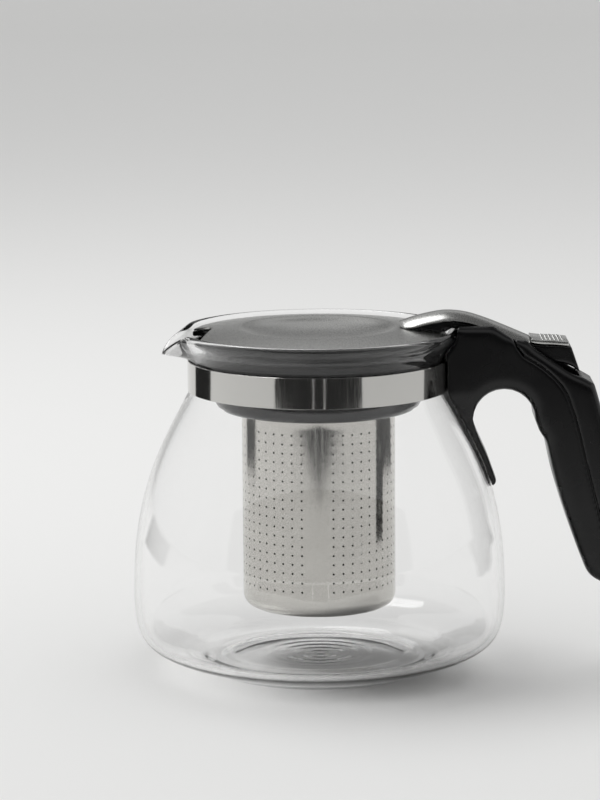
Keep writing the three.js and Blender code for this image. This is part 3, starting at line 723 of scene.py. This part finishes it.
@dataclass
class Jug(Assembly):
    """The glass body with its pulled spout, and the steel band round its neck."""

    foot_r: float = 41.0
    belly_r: float = field(init=False)
    belly_z: float = 29.0
    neck_r: float = field(init=False)
    neck_z: float = field(init=False)
    wall: float = 2.2
    floor_z: float = 3.4
    floor_r: float = 40.0
    floor_steps: int = 59
    ripple_height: float = 0.07
    ripple_pitch: float = 5.4
    ripple_reach: float = 21.0
    ring_height: float = 0.3
    ring_r: float = 33.0
    ring_width: float = 2.2
    corner_r: float = 49.6
    corner_bead: float = 0.5
    corner_width: float = 0.9
    foot: tuple[Point2, ...] = (
        (0, 0.9), (12, 0.9), (24, 0.85), (31, 0.7), (34.5, 0.35), (36.4, 0.06), (37.6, 0), (39.6, 0),
    )
    band_height: float = field(init=False)
    band_sheet: float = 0.55
    rim_rise: float = field(init=False)
    rim_flare: float = 4.4
    spout_pull: float = 6.3
    spout_drop: float = 8.9
    spout_half_width: float = 12.0
    ear_length: float = 8.5
    ear_spread: float = 2.6
    gap: float = 0.3

    def __post_init__(self) -> None:
        """Takes the main sizes from the frame."""
        glass_high = node_box("glass_body")[1]
        band_low, band_high = node_box("neck_band")
        self.belly_r = glass_high[0]
        self.neck_r = -band_low[0] - self.gap - self.band_sheet
        self.neck_z = band_low[2]
        self.band_height = band_high[2] - band_low[2]
        self.rim_rise = glass_high[2] - band_high[2]

    def outside(self) -> list[Point2]:
        """The side from the foot up to the rim's bead, radius and height.

        Returns:
            The outline.
        """
        height = self.neck_z - self.belly_z
        lower = bezier(
            (self.foot_r, 0),
            (self.foot_r + 0.76 * (self.belly_r - self.foot_r), 0.33 * self.belly_z),
            (self.belly_r, 0.17 * self.belly_z),
            (self.belly_r, self.belly_z),
            48,
        )
        upper = bezier(
            (self.belly_r, self.belly_z),
            (self.belly_r, self.belly_z + 0.52 * height),
            (self.neck_r + 0.46 * (self.belly_r - self.neck_r), self.neck_z - 0.255 * height),
            (self.neck_r, self.neck_z),
            26,
        )
        top = self.neck_z + self.band_height
        rim_r = self.neck_r + self.rim_flare
        flare = bezier(
            (self.neck_r, top),
            (self.neck_r, top + 0.4 * self.rim_rise),
            (rim_r, top + 0.5 * self.rim_rise),
            (rim_r, top + self.rim_rise - self.wall / 2),
            12,
        )
        return [*lower, *upper[1:], *flare]

    def pressed_floor(self) -> list[Point2]:
        """The inner floor from its edge to the axis, with the ripples that the plunger leaves.

        Returns:
            The outline.
        """
        floor = []
        for i in range(self.floor_steps + 1):
            r = self.floor_r * (1 - i / self.floor_steps)
            fade = math.exp(-((r / self.ripple_reach) ** 6))
            ripple = self.ripple_height * math.cos(2 * math.pi * r / self.ripple_pitch) * fade
            ring = self.ring_height * math.exp(-(((r - self.ring_r) / self.ring_width) ** 2))
            floor.append((r, self.floor_z + ripple + ring))
        return floor

    def glass(self) -> Piece:
        """The glass body in one piece, foot ring and rim bead included.

        Returns:
            The piece.
        """
        outer = self.outside()
        inner = []
        for r, z in offset(outer, self.wall):
            bead = self.corner_bead * math.exp(-(((r - self.corner_r) / self.corner_width) ** 2))
            if z > self.floor_z + 0.5:
                inner.append((r - bead * (z < self.belly_z), z))
        bead = self.wall / 2
        rim_r = self.neck_r + self.rim_flare
        rim_z = self.neck_z + self.band_height + self.rim_rise
        rim = arc((rim_r - bead, rim_z - bead), bead, 15, 165, 10)
        outline = [*self.foot, *outer[1:], *rim, *reversed(inner)]
        edge = inner[0]
        outline += [(edge[0] - 1.6, self.floor_z + 0.12), *self.pressed_floor()]
        piece = turned("glass_jug", outline, 192)
        self.pull_spout(piece)
        return piece

    def pull_spout(self, piece: Piece) -> None:
        """Draws the rim outwards and down to a lip, as a glassworker does with a rod.

        Args:
            piece: the glass.
        """
        top = self.neck_z + self.band_height
        rim_r = self.neck_r + self.rim_flare
        for vertex in piece.data.vertices:
            x, y, z = (c / MM for c in vertex.co)
            rise = (z - top) / self.rim_rise
            if rise <= 0:
                continue
            across = abs(math.atan2(y, -x)) * rim_r / self.spout_half_width
            radius = math.hypot(x, y)
            pulled = radius + rise * self.spout_pull * math.exp(-(across**4))
            drop = rise * self.spout_drop * math.exp(-((1.05 * across) ** 2.5))
            vertex.co = Vector((x * pulled / radius, y * pulled / radius, z - drop)) * MM

    def band(self) -> Piece:
        """The neck band, an open ring with two ears that the handle's head hides.

        Returns:
            The piece.
        """
        radius = self.neck_r + self.gap + self.band_sheet
        start = math.asin(self.ear_spread / radius)
        low, high = self.neck_z, self.neck_z + self.band_height
        inside = radius - self.band_sheet
        nick = 0.14
        section = [(inside, low), (radius - nick, low), (radius, low + nick)]
        section += [(radius, high - nick), (radius - nick, high), (inside, high)]
        ring = [(r * math.cos(start) * MM, r * math.sin(start) * MM, z * MM) for r, z in section]
        piece = drawn_face("neck_band_strip", ring)
        bpy.ops.mesh.spin(steps=180, angle=2 * (math.pi - start), center=(0, 0, 0), axis=(0, 0, 1))
        clean_faces(piece)
        for side in (-1, 1):
            self.add_ear(piece, side, radius, (low + high) / 2)
        smooth_shading(piece, 30)
        return piece

    def add_ear(self, piece: Piece, side: int, radius: float, middle: float) -> None:
        """Joins one turned-out ear to the band.

        Args:
            piece: the band.
            side: -1 or 1, the side of the gap.
            radius: the band's outside.
            middle: the ear's middle level.
        """
        clear_selection()
        y = side * (self.ear_spread + self.band_sheet / 2)
        start = radius - self.band_sheet
        size = (self.ear_length + self.band_sheet, self.band_sheet, self.band_height - 2.4)
        bpy.ops.mesh.primitive_cube_add(size=1, location=((start + size[0] / 2) * MM, y * MM, middle * MM))
        ear = bpy.context.object
        open_all(ear)
        bpy.ops.transform.resize(value=[s * MM for s in size])
        bpy.ops.mesh.bevel(offset=0.12 * MM, segments=2)
        close()
        pick(ear)
        bpy.ops.object.transform_apply(location=True, rotation=True, scale=True)
        piece.select_set(True)
        bpy.context.view_layer.objects.active = piece
        bpy.ops.object.join()

    def build(self) -> None:
        """Makes and places the jug's pieces."""
        self.place(self.glass(), Body.JUG, Slot.GLASS, "glass_body")
        self.place(self.band(), Body.JUG, Slot.POLISHED, "neck_band")
        self.keep("band_screw", Slot.ZINC)
        self.keep("band_nut", Slot.ZINC)


@dataclass
class Handle(Assembly):
    """The black side handle: body with its tongue, back cover, pin and screws."""

    voxel: float = 0.55
    passes: int = 90
    slot_half: float = 9.2
    slot_depth: float = 41.0
    slot: Point2 = field(init=False)
    lip_near: float = 9.3
    lip_far: float = 11.2
    lip_half: float = 1.1
    seam_shape: tuple[Point2, ...] = (
        (-40.8, 86.4), (-35.8, 83.4), (-30.8, 79.4), (-26.8, 75.0), (-24.0, 69.8),
        (-21.0, 60.4), (-17.4, 45.4), (-12.8, 27.4), (-9.0, 10.4), (-8.6, 1.9),
    )
    seam: list[Point2] = field(init=False)

    def __post_init__(self) -> None:
        """Places the lever's slot and the parting line in the frame."""
        self.slot = (self.slot_half, node_box("handle_body")[1][2] - self.slot_depth)
        low, high = node_box("handle_back_cover")
        self.seam = [(high[0] + x, low[2] + z) for x, z in self.seam_shape]

    def lip(self) -> Piece:
        """The lip inside both shell walls along the parting line; it keeps light out of the seam.

        Returns:
            The piece.
        """
        line = smooth_path(self.seam, 60)
        outline = [*offset(line, self.lip_half), *reversed(offset(line, -self.lip_half))]
        sides = []
        for side in (-1, 1):
            points = [(x * MM, side * self.lip_near * MM, z * MM) for x, z in outline]
            strip = drawn_face("handle_seam_lip", points)
            extrude(0, side * (self.lip_far - self.lip_near), 0)
            clean_faces(strip)
            sides.append(strip)
        pick(sides[0])
        sides[1].select_set(True)
        bpy.ops.object.join()
        smooth_shading(sides[0])
        return sides[0]

    def build(self) -> None:
        """Makes and places the handle's pieces."""
        halves = (
            ("handle_body", "handle_front", ("handle_back_cover", "lid_lever", "glass_body", "neck_band")),
            ("handle_back_cover", "handle_back", ("handle_body", "lid_lever")),
        )
        nodes = self.frame["nodes"]
        body, cover = (
            softened(nodes[node], name, [nodes[n] for n in beside], self.voxel, self.passes, slot=self.slot)
            for node, name, beside in halves
        )
        self.place(body, Body.JUG, Slot.ABS, "handle_body")
        self.place(cover, Body.JUG, Slot.ABS, "handle_back_cover")
        self.place(self.lip(), Body.JUG, Slot.ABS)
        for node in ("cover_screw_upper", "cover_screw_lower", "hinge_pin"):
            self.keep(node, Slot.ZINC)


@dataclass
class Lever(Assembly):
    """The lid's lever: black arm and thumb wedge, steel cover and embossed thumb pad."""

    width: float = 16.0
    sheet: float = 0.8
    crown: float = 0.36
    crest_shape: tuple[Point2, ...] = (
        (0, -4.0), (5.8, -2.1), (11.8, -0.7), (17.4, 0), (23.8, -0.6), (29.8, -2.3), (36.8, -5.0), (47.8, -9.7),
    )
    pad_shape: tuple[Point2, ...] = ((-13.8, 0), (-10.4, -0.5), (-5.4, -0.7), (0, -1.2))
    crest: list[Point2] = field(init=False)
    pad_top: list[Point2] = field(init=False)
    pad_thickness: float = 1.6
    dot_r: float = 0.62
    dot_pitch: float = 1.7
    dots_length: float = 9.6

    def __post_init__(self) -> None:
        """Places the cover's crest and the pad's upper line in the frame."""
        low, high = node_box("arm_cover")
        self.crest = [(low[0] + x, high[2] + z) for x, z in self.crest_shape]
        high = node_box("thumb_pad")[1]
        self.pad_top = [(high[0] + x, high[2] + z) for x, z in self.pad_shape]

    def half_width(self, share: float) -> float:
        """Half the cover's width at a share of its length, round at the lid's end."""
        part = min(share / 0.16, 1)
        return self.width / 2 * (0.25 + 0.75 * math.sqrt(1 - (1 - part) ** 2))

    def cover(self) -> Piece:
        """The crowned steel skin: a grid laid over the arm, then given its thickness and rounded edges.

        Returns:
            The piece.
        """
        clear_selection()
        along, across = 56, 16
        bpy.ops.mesh.primitive_grid_add(x_subdivisions=along, y_subdivisions=across, size=2, location=(0, 0, 0))
        piece = bpy.context.object
        piece.name = piece.data.name = "lever_cover"
        line = smooth_path(self.crest, along)
        for vertex in piece.data.vertices:
            i = round((vertex.co.x + 1) / 2 * along)
            x, top = line[i]
            half = self.half_width(i / along)
            y = vertex.co.y * half
            vertex.co = Vector((x, y, top - self.crown * half * vertex.co.y**2)) * MM
        clean_faces(piece)
        if sum(p.normal.z for p in piece.data.polygons) < 0:
            open_all(piece)
            bpy.ops.mesh.flip_normals()
            close()
        modify(piece, "SOLIDIFY", thickness=self.sheet * MM, offset=-1.0)
        round_edges(piece, 0.2)
        smooth_shading(piece, 50)
        return piece

    def pad(self) -> Piece:
        """The thumb pad: a bent plate with staggered raised dots on its far part.

        Returns:
            The piece.
        """
        top = smooth_path(self.pad_top, 16)
        outline = [*top, *reversed(offset(top, -self.pad_thickness))]
        half = self.width / 2
        points = [(x * MM, -half * MM, z * MM) for x, z in outline]
        piece = drawn_face("thumb_rest", points)
        extrude(0, self.width, 0)
        clean_faces(piece)
        round_edges(piece, 0.35, segments=3)
        dots = self.dots(top)
        pick(piece)
        for dot in dots:
            dot.select_set(True)
        bpy.ops.object.join()
        smooth_shading(piece, 40)
        return piece

    def dots(self, top: Sequence[Point2]) -> list[Piece]:
        """Copies one raised dot over the pad's far part, in staggered rows.

        Args:
            top: the pad's upper line.

        Returns:
            The dots, each with its own mesh.
        """
        clear_selection()
        bpy.ops.mesh.primitive_uv_sphere_add(segments=10, ring_count=6, radius=self.dot_r * MM)
        first = bpy.context.object
        open_all(first)
        bpy.ops.transform.resize(value=(1, 1, 0.6))
        bpy.ops.mesh.bisect(plane_co=(0, 0, -0.1 * MM), plane_no=(0, 0, 1), clear_inner=True, use_fill=True)
        close()
        dots = []
        step = self.dot_pitch * 0.87
        for row in range(int(self.dots_length / step)):
            x = top[-1][0] - self.dots_length + row * step
            near, far = next(pair for pair in zip(top, top[1:]) if pair[1][0] >= x)
            z = near[1] + (far[1] - near[1]) * (x - near[0]) / (far[0] - near[0])
            count = 8 if row % 2 else 9
            for k in range(count):
                y = (k - (count - 1) / 2) * self.dot_pitch
                dot = bpy.data.objects.new("dot", first.data.copy())
                bpy.context.scene.collection.objects.link(dot)
                for vertex in dot.data.vertices:
                    vertex.co += Vector((x, y, z - 0.12)) * MM
                dots.append(dot)
        bpy.data.objects.remove(first)
        return dots

    def build(self) -> None:
        """Makes and places the lever's pieces."""
        nodes = self.frame["nodes"]
        beside = ("handle_body", "handle_back_cover", "arm_cover", "thumb_pad", "lid_plate", "hinge_pin")
        others = [nodes[n] for n in beside]
        arm = softened(nodes["lid_lever"], "lever_arm", others, voxel=0.5, passes=12, crisp=0.8, soft=2.4)
        self.place(arm, Body.LID, Slot.ABS, "lid_lever")
        self.place(self.cover(), Body.LID, Slot.SATIN, "arm_cover")
        self.place(self.pad(), Body.LID, Slot.EMBOSSED, "thumb_pad")


@dataclass
class Lid(Assembly):
    """The steel lid plate with its dish and pour notch, and the black base under it."""

    radius: float = field(init=False)
    edge_z: float = field(init=False)
    edge_drop: float = 1.4
    dome: float = 2.0
    dish_r: float = 30.0
    dish_depth: float = 3.6
    sheet: float = 0.7
    base_thickness: float = 1.7
    base_extra: float = 0.5
    gap: float = 0.3

    def __post_init__(self) -> None:
        """Takes the plate's radius and level from the frame."""
        self.radius = node_box("lid_plate")[1][1]
        self.edge_z = node_box("glass_body")[1][2] - self.edge_drop

    def notch(self, name: str, extra: float) -> Piece:
        """The space of the pour notch over the spout.

        Args:
            name: the new object's name.
            extra: how far it is grown all round.

        Returns:
            The space as a closed mesh.
        """
        edge, floor = self.radius + 6, -(self.radius - 8) + extra
        side = 9.6 + extra
        corner = bezier((floor, 3.5), (floor, 7.6 + extra * 0.7), (floor - 1.6, side), (floor - 5, side), 8)
        plan = [(-edge, -27), (floor - 4.5, -23 - extra), *corner, (-edge, 8.8 + extra)]
        return slab(name, plan, self.edge_z - 16, self.edge_z + 16)

    def top_line(self) -> list[Point2]:
        """The plate's upper line from its middle to its edge.

        Returns:
            The outline.
        """
        top, depth = self.edge_z + self.dome, self.dish_depth
        bottom = top - depth
        knots = [
            (0, bottom),
            (0.4 * self.dish_r, bottom + 0.08 * depth),
            (self.dish_r - 8, bottom + depth / 2),
            (self.dish_r - 3, top - 0.12 * depth),
            (self.dish_r, top),
            (self.dish_r + 8, self.edge_z + 0.62 * self.dome),
            (self.radius - 0.25, self.edge_z + 0.1),
        ]
        return smooth_path(knots, 48)

    def plate(self) -> Piece:
        """The pressed steel plate with a rolled edge.

        Returns:
            The piece.
        """
        top = self.top_line()
        bottom = offset(top, -self.sheet)
        bottom[0] = (0, bottom[0][1])
        half = self.sheet / 2
        edge = arc((self.radius - half, self.edge_z - half + 0.08), half, 60, -90, 6)
        piece = turned("lid_dish", [*top, *edge, *reversed(bottom)])
        cut(piece, self.notch("notch_tool", 0))
        round_edges(piece, 0.12, degrees=60)
        smooth_shading(piece, 50)
        return piece

    def base(self) -> Piece:
        """The plastic disc under the plate, with its drip skirt.

        Returns:
            The piece.
        """
        top = self.edge_z - self.sheet - self.gap
        low = top - self.base_thickness
        rim_r = self.radius + self.base_extra
        skirt = self.dish_r + 3.6
        dish, edge = self.dish_r, self.radius
        outline = [(0, top - 3.6), (0.4 * dish, top - 3.6), (dish - 1, top - 1.4), (dish + 4, top)]
        outline += [(edge - 2, top + 0.2), (rim_r - 0.35, top + 0.2), (rim_r, top - 0.15)]
        outline += [(rim_r, low + 0.4), (rim_r - 0.4, low), (skirt, low), (skirt, low - 4.3)]
        outline += [(skirt - 0.3, low - 4.5), (skirt - 1.6, low - 4.5), (skirt - 1.6, low)]
        outline += [(dish + 1.5, low), (dish - 3, top - 3.3), (0.4 * dish, top - 5.4), (0, top - 5.4)]
        piece = turned("lid_underside", outline)
        cut(piece, self.notch("notch_tool", self.base_extra))
        smooth_shading(piece, 35)
        return piece

    def build(self) -> None:
        """Makes and places the lid's pieces."""
        self.place(self.plate(), Body.LID, Slot.SATIN, "lid_plate")
        self.place(self.base(), Body.LID, Slot.POLYPROPYLENE, "lid_base")
        self.keep("lid_screw_left", Slot.ZINC)
        self.keep("lid_screw_right", Slot.ZINC)


@dataclass
class Infuser(Assembly):
    """The black collar in the neck and the perforated steel basket that hangs in it."""

    basket_r: float = field(init=False)
    sheet: float = 0.5
    bottom_z: float = field(init=False)
    corner: float = 4.5
    rim_bend: float = 0.9
    rim_z: float = field(init=False)
    flange: float = 7.4
    flange_r: float = field(init=False)
    collar_z: float = field(init=False)
    hole_r: float = 0.4
    rows: int = 18
    columns: int = 10
    row_pitch: float = 3.414
    top_row_drop: float = 8.0
    top_row_z: float = field(init=False)
    column_turn: float = 0.1293
    first_turn: float = -0.023

    def __post_init__(self) -> None:
        """Takes the basket's and the collar's place from the frame."""
        low, high = node_box("infuser_basket")
        self.flange_r = high[0]
        self.basket_r = self.flange_r - self.flange
        self.bottom_z = low[2]
        self.rim_z = high[2] - self.sheet
        self.top_row_z = self.rim_z - self.top_row_drop
        self.collar_z = node_box("infuser_collar")[0][2]

    def tile(self) -> Piece:
        """One flat square of the wall with a round hole, X across and Z up from its lower left corner.

        Returns:
            The piece, to be repeated.
        """
        clear_selection()
        bpy.ops.mesh.primitive_circle_add(vertices=8, radius=self.hole_r * MM, fill_type="NOTHING")
        piece = bpy.context.object
        piece.name = piece.data.name = "infuser_basket_cup"
        bpy.ops.object.mode_set(mode="EDIT")
        bpy.ops.mesh.primitive_circle_add(vertices=8, radius=MM, fill_type="NOTHING")
        bpy.ops.mesh.select_all(action="SELECT")
        bpy.ops.mesh.bridge_edge_loops()
        close()
        half = (self.column_turn * self.basket_r / 2, self.row_pitch / 2)
        for vertex in piece.data.vertices:
            x, z = vertex.co.x / MM, vertex.co.y / MM
            if math.hypot(x, z) > 0.8:
                x, z = (math.copysign(half[k], v) if abs(v) > 0.3 else 0.0 for k, v in enumerate((x, z)))
            vertex.co = Vector(((x + half[0]) * MM, 0, (z + half[1]) * MM))
        return piece

    def wall(self) -> Piece:
        """The perforated wall, four fields of holes with plain strips between them, bent round.

        Returns:
            The piece, open above and below.
        """
        piece = self.tile()
        width, height = self.column_turn * self.basket_r, self.row_pitch
        strip = math.pi / 2 * self.basket_r - self.columns * width
        self.repeat(piece, self.rows, (0, 0, height * MM))
        self.repeat(piece, self.columns, (width * MM, 0, 0))
        edge = self.columns * width
        self.select_edges(piece, lambda p: p.x / MM > edge - 0.01)
        for _ in range(4):
            extrude(strip / 4, 0, 0)
        close()
        self.repeat(piece, 4, ((edge + strip) * MM, 0, 0))
        low = self.top_row_z - (self.rows - 0.5) * height
        start = self.first_turn + strip / 2 / self.basket_r - math.pi / 2
        for vertex in piece.data.vertices:
            turn = start + vertex.co.x / MM / self.basket_r
            x, y = self.basket_r * math.cos(turn), self.basket_r * math.sin(turn)
            vertex.co = Vector((x, y, vertex.co.z / MM + low)) * MM
        clean_faces(piece, outward=False)
        return piece

    @staticmethod
    def repeat(piece: Piece, count: int, step: Point3) -> None:
        """Repeats a piece in a row and joins the copies where they meet.

        Args:
            piece: the mesh.
            count: how many there are then.
            step: the way from each to the next in metres.
        """
        modify(
            piece,
            "ARRAY",
            count=count,
            use_relative_offset=False,
            use_constant_offset=True,
            constant_offset_displace=step,
            use_merge_vertices=True,
            merge_threshold=1e-5,
        )

    @staticmethod
    def select_edges(piece: Piece, inside: Callable[[Vector], bool]) -> None:
        """Opens a piece for editing with the edges selected whose two ends pass a test.

        Args:
            piece: the mesh.
            inside: the test, given a point in metres.
        """
        pick(piece)
        mesh = piece.data
        for vertex in mesh.vertices:
            vertex.select = inside(vertex.co)
        for edge in mesh.edges:
            edge.select = all(mesh.vertices[i].select for i in edge.vertices)
        for face in mesh.polygons:
            face.select = False
        bpy.ops.object.mode_set(mode="EDIT")
        bpy.ops.mesh.select_mode(type="EDGE")

    def basket(self) -> Piece:
        """The whole cup: wall, rounded bottom corner, floor, and the rim turned out over the collar.

        Returns:
            The piece.
        """
        piece = self.wall()
        top = max(v.co.z for v in piece.data.vertices)
        low = min(v.co.z for v in piece.data.vertices)
        self.select_edges(piece, lambda p: p.z > top - MERGE_M)
        bend = self.rim_bend
        line = [(self.basket_r, top / MM), (self.basket_r, self.rim_z - bend)]
        line += arc((self.basket_r + bend, self.rim_z - bend), bend, 180, 90, 4)[1:]
        self.run_out([*line, (self.flange_r, self.rim_z)])
        close()
        self.select_edges(piece, lambda p: p.z < low + MERGE_M)
        line = [(self.basket_r, low / MM)]
        line += arc((self.basket_r - self.corner, self.bottom_z + self.corner), self.corner, 0, -90, 8)
        line += [(r, self.bottom_z) for r in (18.0, 10.0, 4.0)]
        self.run_out(line)
        bpy.ops.mesh.extrude_region_move()
        bpy.ops.mesh.merge(type="CENTER")
        clean_faces(piece, outward=False)
        self.face_outwards(piece)
        modify(piece, "SOLIDIFY", thickness=self.sheet * MM, offset=-1.0)
        smooth_shading(piece, 40)
        return piece

    @staticmethod
    def run_out(line: Sequence[Point2]) -> None:
        """Extrudes the selected ring of edges.

        Args:
            line: the radius and height of each step.
        """
        for (r0, z0), (r1, z1) in zip(line, line[1:]):
            extrude(0, 0, z1 - z0)
            bpy.ops.transform.resize(value=(r1 / r0, r1 / r0, 1), center_override=(0, 0, 0))

    @staticmethod
    def face_outwards(piece: Piece) -> None:
        """Turns an open shell so that its faces point away from the axis.

        Args:
            piece: the shell.
        """
        pick(piece)
        bpy.ops.object.mode_set(mode="EDIT")
        bpy.ops.mesh.select_mode(type="VERT")
        bpy.ops.mesh.select_all(action="SELECT")
        bpy.ops.mesh.normals_make_consistent(inside=False)
        close()
        faces = [p for p in piece.data.polygons if p.center.z > 0.04]
        if sum(p.normal.x * p.center.x + p.normal.y * p.center.y for p in faces) < 0:
            bpy.ops.object.mode_set(mode="EDIT")
            bpy.ops.mesh.flip_normals()
            close()

    def collar(self) -> Piece:
        """The plastic collar: a step, a wall up the neck and a lip under the lid.

        Returns:
            The piece.
        """
        shape = [
            (28.8, 0.0), (34.4, 0.0), (36.2, 0.4), (37.5, 1.4), (38.1, 3.1), (38.1, 7.3),
            (38.4, 7.9), (43.2, 8.5), (44.1, 9.0), (44.4, 9.9), (44.4, 19.0), (44.7, 21.1),
            (45.6, 22.9), (46.9, 24.1), (47.1, 25.0), (46.8, 25.3), (45.6, 25.3), (43.6, 23.1),
            (42.5, 20.7), (42.5, 10.6), (36.2, 9.2), (36.2, 1.9), (28.8, 1.9),
        ]
        outline = [(r, self.collar_z + up) for r, up in shape]
        piece = turned("infuser_collar_ring", outline)
        round_edges(piece, 0.25)
        smooth_shading(piece, 40)
        return piece

    def build(self) -> None:
        """Makes and places the infuser's pieces."""
        self.place(self.collar(), Body.INFUSER, Slot.POLYPROPYLENE, "infuser_collar")
        self.place(self.basket(), Body.INFUSER, Slot.BASKET, "infuser_basket")


# ---------- the studio ----------


@dataclass
class Studio:
    """Camera, pale floor and soft light, placed in metres."""

    floor_colour: str = "#EDEDEC"
    fibre_mm: float = 1 / 0.9
    floor_half: float = 3.0
    back_y: float = 5.2
    wall_height: float = 2.6
    sweep: float = 1.2
    camera_at: Point3 = (-0.00496, -1.2285, 0.3100)
    camera_pitch: float = 0.169
    camera_yaw: float = -0.0015
    camera_roll: float = -0.0072
    lens: float = 150.98
    key_power: float = 8.2
    key_size: Point2 = (0.9, 0.7)
    key_at: Point3 = (-0.45, 0.45, 1.4)
    key_aim: Point3 = (0, 0, 0.05)
    dome_strength: float = 0.68
    flag_colour: str = "#2B2B2B"
    room_colour: str = "#303030"
    ceiling_colour: str = "#707070"
    backdrop_colour: str = "#8C8C8C"
    dark_backdrop_colour: str = "#3C3C3C"

    def camera(self) -> None:
        """The camera, level with the pot's middle and looking slightly down on it."""
        data = bpy.data.cameras.new("camera")
        data.lens, data.sensor_width = self.lens, 36.0
        data.clip_start, data.clip_end = 0.05, 40.0
        camera = bpy.data.objects.new("camera", data)
        bpy.context.scene.collection.objects.link(camera)
        camera.location = self.camera_at
        turn = Euler((math.pi / 2 - self.camera_pitch, 0, -self.camera_yaw)).to_quaternion()
        forward = turn @ Vector((0, 0, -1))
        camera.rotation_mode = "QUATERNION"
        camera.rotation_quaternion = Quaternion(forward, -self.camera_roll) @ turn
        bpy.context.scene.camera = camera

    def floor(self) -> None:
        """A pale sheet that runs back and curves up into the wall."""
        left, start = -self.floor_half, self.back_y - self.sweep
        points = [(left, left, 0.0), (left, start, 0.0)]
        for i in range(1, 17):
            turn = math.pi / 2 * i / 16
            points.append((left, start + self.sweep * math.sin(turn), self.sweep * (1 - math.cos(turn))))
        points.append((left, self.back_y, self.wall_height))
        sheet = drawn_wire("studio_floor", points)
        extrude(2 * self.floor_half / MM, 0, 0)
        close()
        smooth_shading(sheet, 60)
        material, tree = new_material("matt_paper")
        fibre = noise(tree, place_on(tree), self.fibre_mm)
        inputs = {
            "Base Color": linear(self.floor_colour),
            "Roughness": 0.9,
            "Specular IOR Level": 0.1,
            "Normal": bump(tree, fibre, 0.05, strength=0.05),
        }
        finish_output(tree, add_node(tree, "ShaderNodeBsdfPrincipled", inputs))
        sheet.data.materials.append(material)

    def card(self, name: str, corners: Sequence[Point3], colour: str) -> None:
        """A card of one even tone that the camera doesn't see; it draws its shape into metal, gloss and glass.

        Args:
            name: its name.
            corners: its outline in metres.
            colour: its tone.
        """
        card = drawn_face(name, corners)
        close()
        material, tree = new_material(name + "_tone")
        shader = add_node(tree, "ShaderNodeEmission", {"Color": linear(colour), "Strength": 1.0})
        finish_output(tree, shader)
        card.data.materials.append(material)
        card.visible_camera = card.visible_diffuse = card.visible_shadow = False

    def flag(self, name: str, near: Sequence[Point2], far: float) -> None:
        """A dark card on the floor.

        Args:
            name: its name.
            near: its edge towards the pot, as degrees round the pot from the camera's side and metres.
            far: the distance of its other edge.
        """
        edge = [*near, *((turn, far) for turn, _ in reversed(near))]
        turns = [(math.radians(turn), r) for turn, r in edge]
        self.card(name, [(r * math.sin(t), -r * math.cos(t), 0.002) for t, r in turns], self.flag_colour)

    def key_light(self) -> None:
        """One soft rectangular light, high on the left and behind the pot."""
        data = bpy.data.lights.new("key_light", "AREA")
        data.shape, data.energy = "RECTANGLE", self.key_power
        data.size, data.size_y = self.key_size
        lamp = bpy.data.objects.new("key_light", data)
        bpy.context.scene.collection.objects.link(lamp)
        lamp.location = self.key_at
        way = Vector(self.key_aim) - Vector(self.key_at)
        lamp.rotation_euler = way.to_track_quat("-Z", "Y").to_euler()
        lamp.visible_camera = False

    def dome(self) -> None:
        """Even pale light from all round."""
        world = bpy.data.worlds.new("studio")
        world.use_nodes = True
        tree = world.node_tree
        tree.nodes.clear()
        inputs = {"Color": linear("#FFFFFF"), "Strength": self.dome_strength}
        light = add_node(tree, "ShaderNodeBackground", inputs)
        add_node(tree, "ShaderNodeOutputWorld", {"Surface": light.outputs[0]})
        bpy.context.scene.world = world

    def build(self) -> None:
        """Makes the whole studio."""
        bpy.context.scene.view_settings.view_transform = "Standard"
        self.camera()
        self.floor()
        self.dome()
        self.flag("front_flag_left", [(-37, 0.62), (-30, 0.58), (-18, 0.5), (-7, 0.42), (-4.7, 0.41)], 1.6)
        self.flag("front_flag_middle", [(-4, 0.4), (4.5, 0.4)], 1.6)
        self.flag("front_flag_right", [(5.3, 0.41), (7, 0.42), (18, 0.5), (30, 0.58), (37, 0.62)], 1.6)
        self.flag("left_flag", [(-134, 0.42), (-120, 0.42), (-106, 0.42)], 2.0)
        self.flag("right_flag", [(106, 0.42), (120, 0.42), (134, 0.42)], 2.0)
        half, front_y, back_y = self.floor_half, -1.8, self.back_y - 0.05
        room = [(-half, front_y, 0.02), (half, front_y, 0.02), (half, front_y, 1.2), (-half, front_y, 1.2)]
        self.card("room_behind_camera", room, self.room_colour)
        for name, left, right, colour in (
            ("dim_backdrop_left", -half, -0.5, self.dark_backdrop_colour),
            ("dim_backdrop_right", -0.5, half, self.backdrop_colour),
        ):
            corners = ((left, 0.3), (right, 0.3), (right, 2.4), (left, 2.4))
            self.card(name, [(x, back_y, z) for x, z in corners], colour)
        roof = [(-half, -0.6, 2.4), (half, -0.6, 2.4), (half, 2.6, 2.4), (-half, 2.6, 2.4)]
        self.card("dim_ceiling", roof, self.ceiling_colour)
        self.key_light()


def main() -> None:
    """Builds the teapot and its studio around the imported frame."""
    logging.basicConfig(level=logging.INFO, format="%(name)s: %(message)s")
    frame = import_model()
    finishes = Finishes()
    for part in (Jug, Handle, Lever, Lid, Infuser):
        part(frame, finishes).build()
        LOG.info("%s is built", part.__name__)
    Studio().build()


if __name__ == "__main__":
    main()
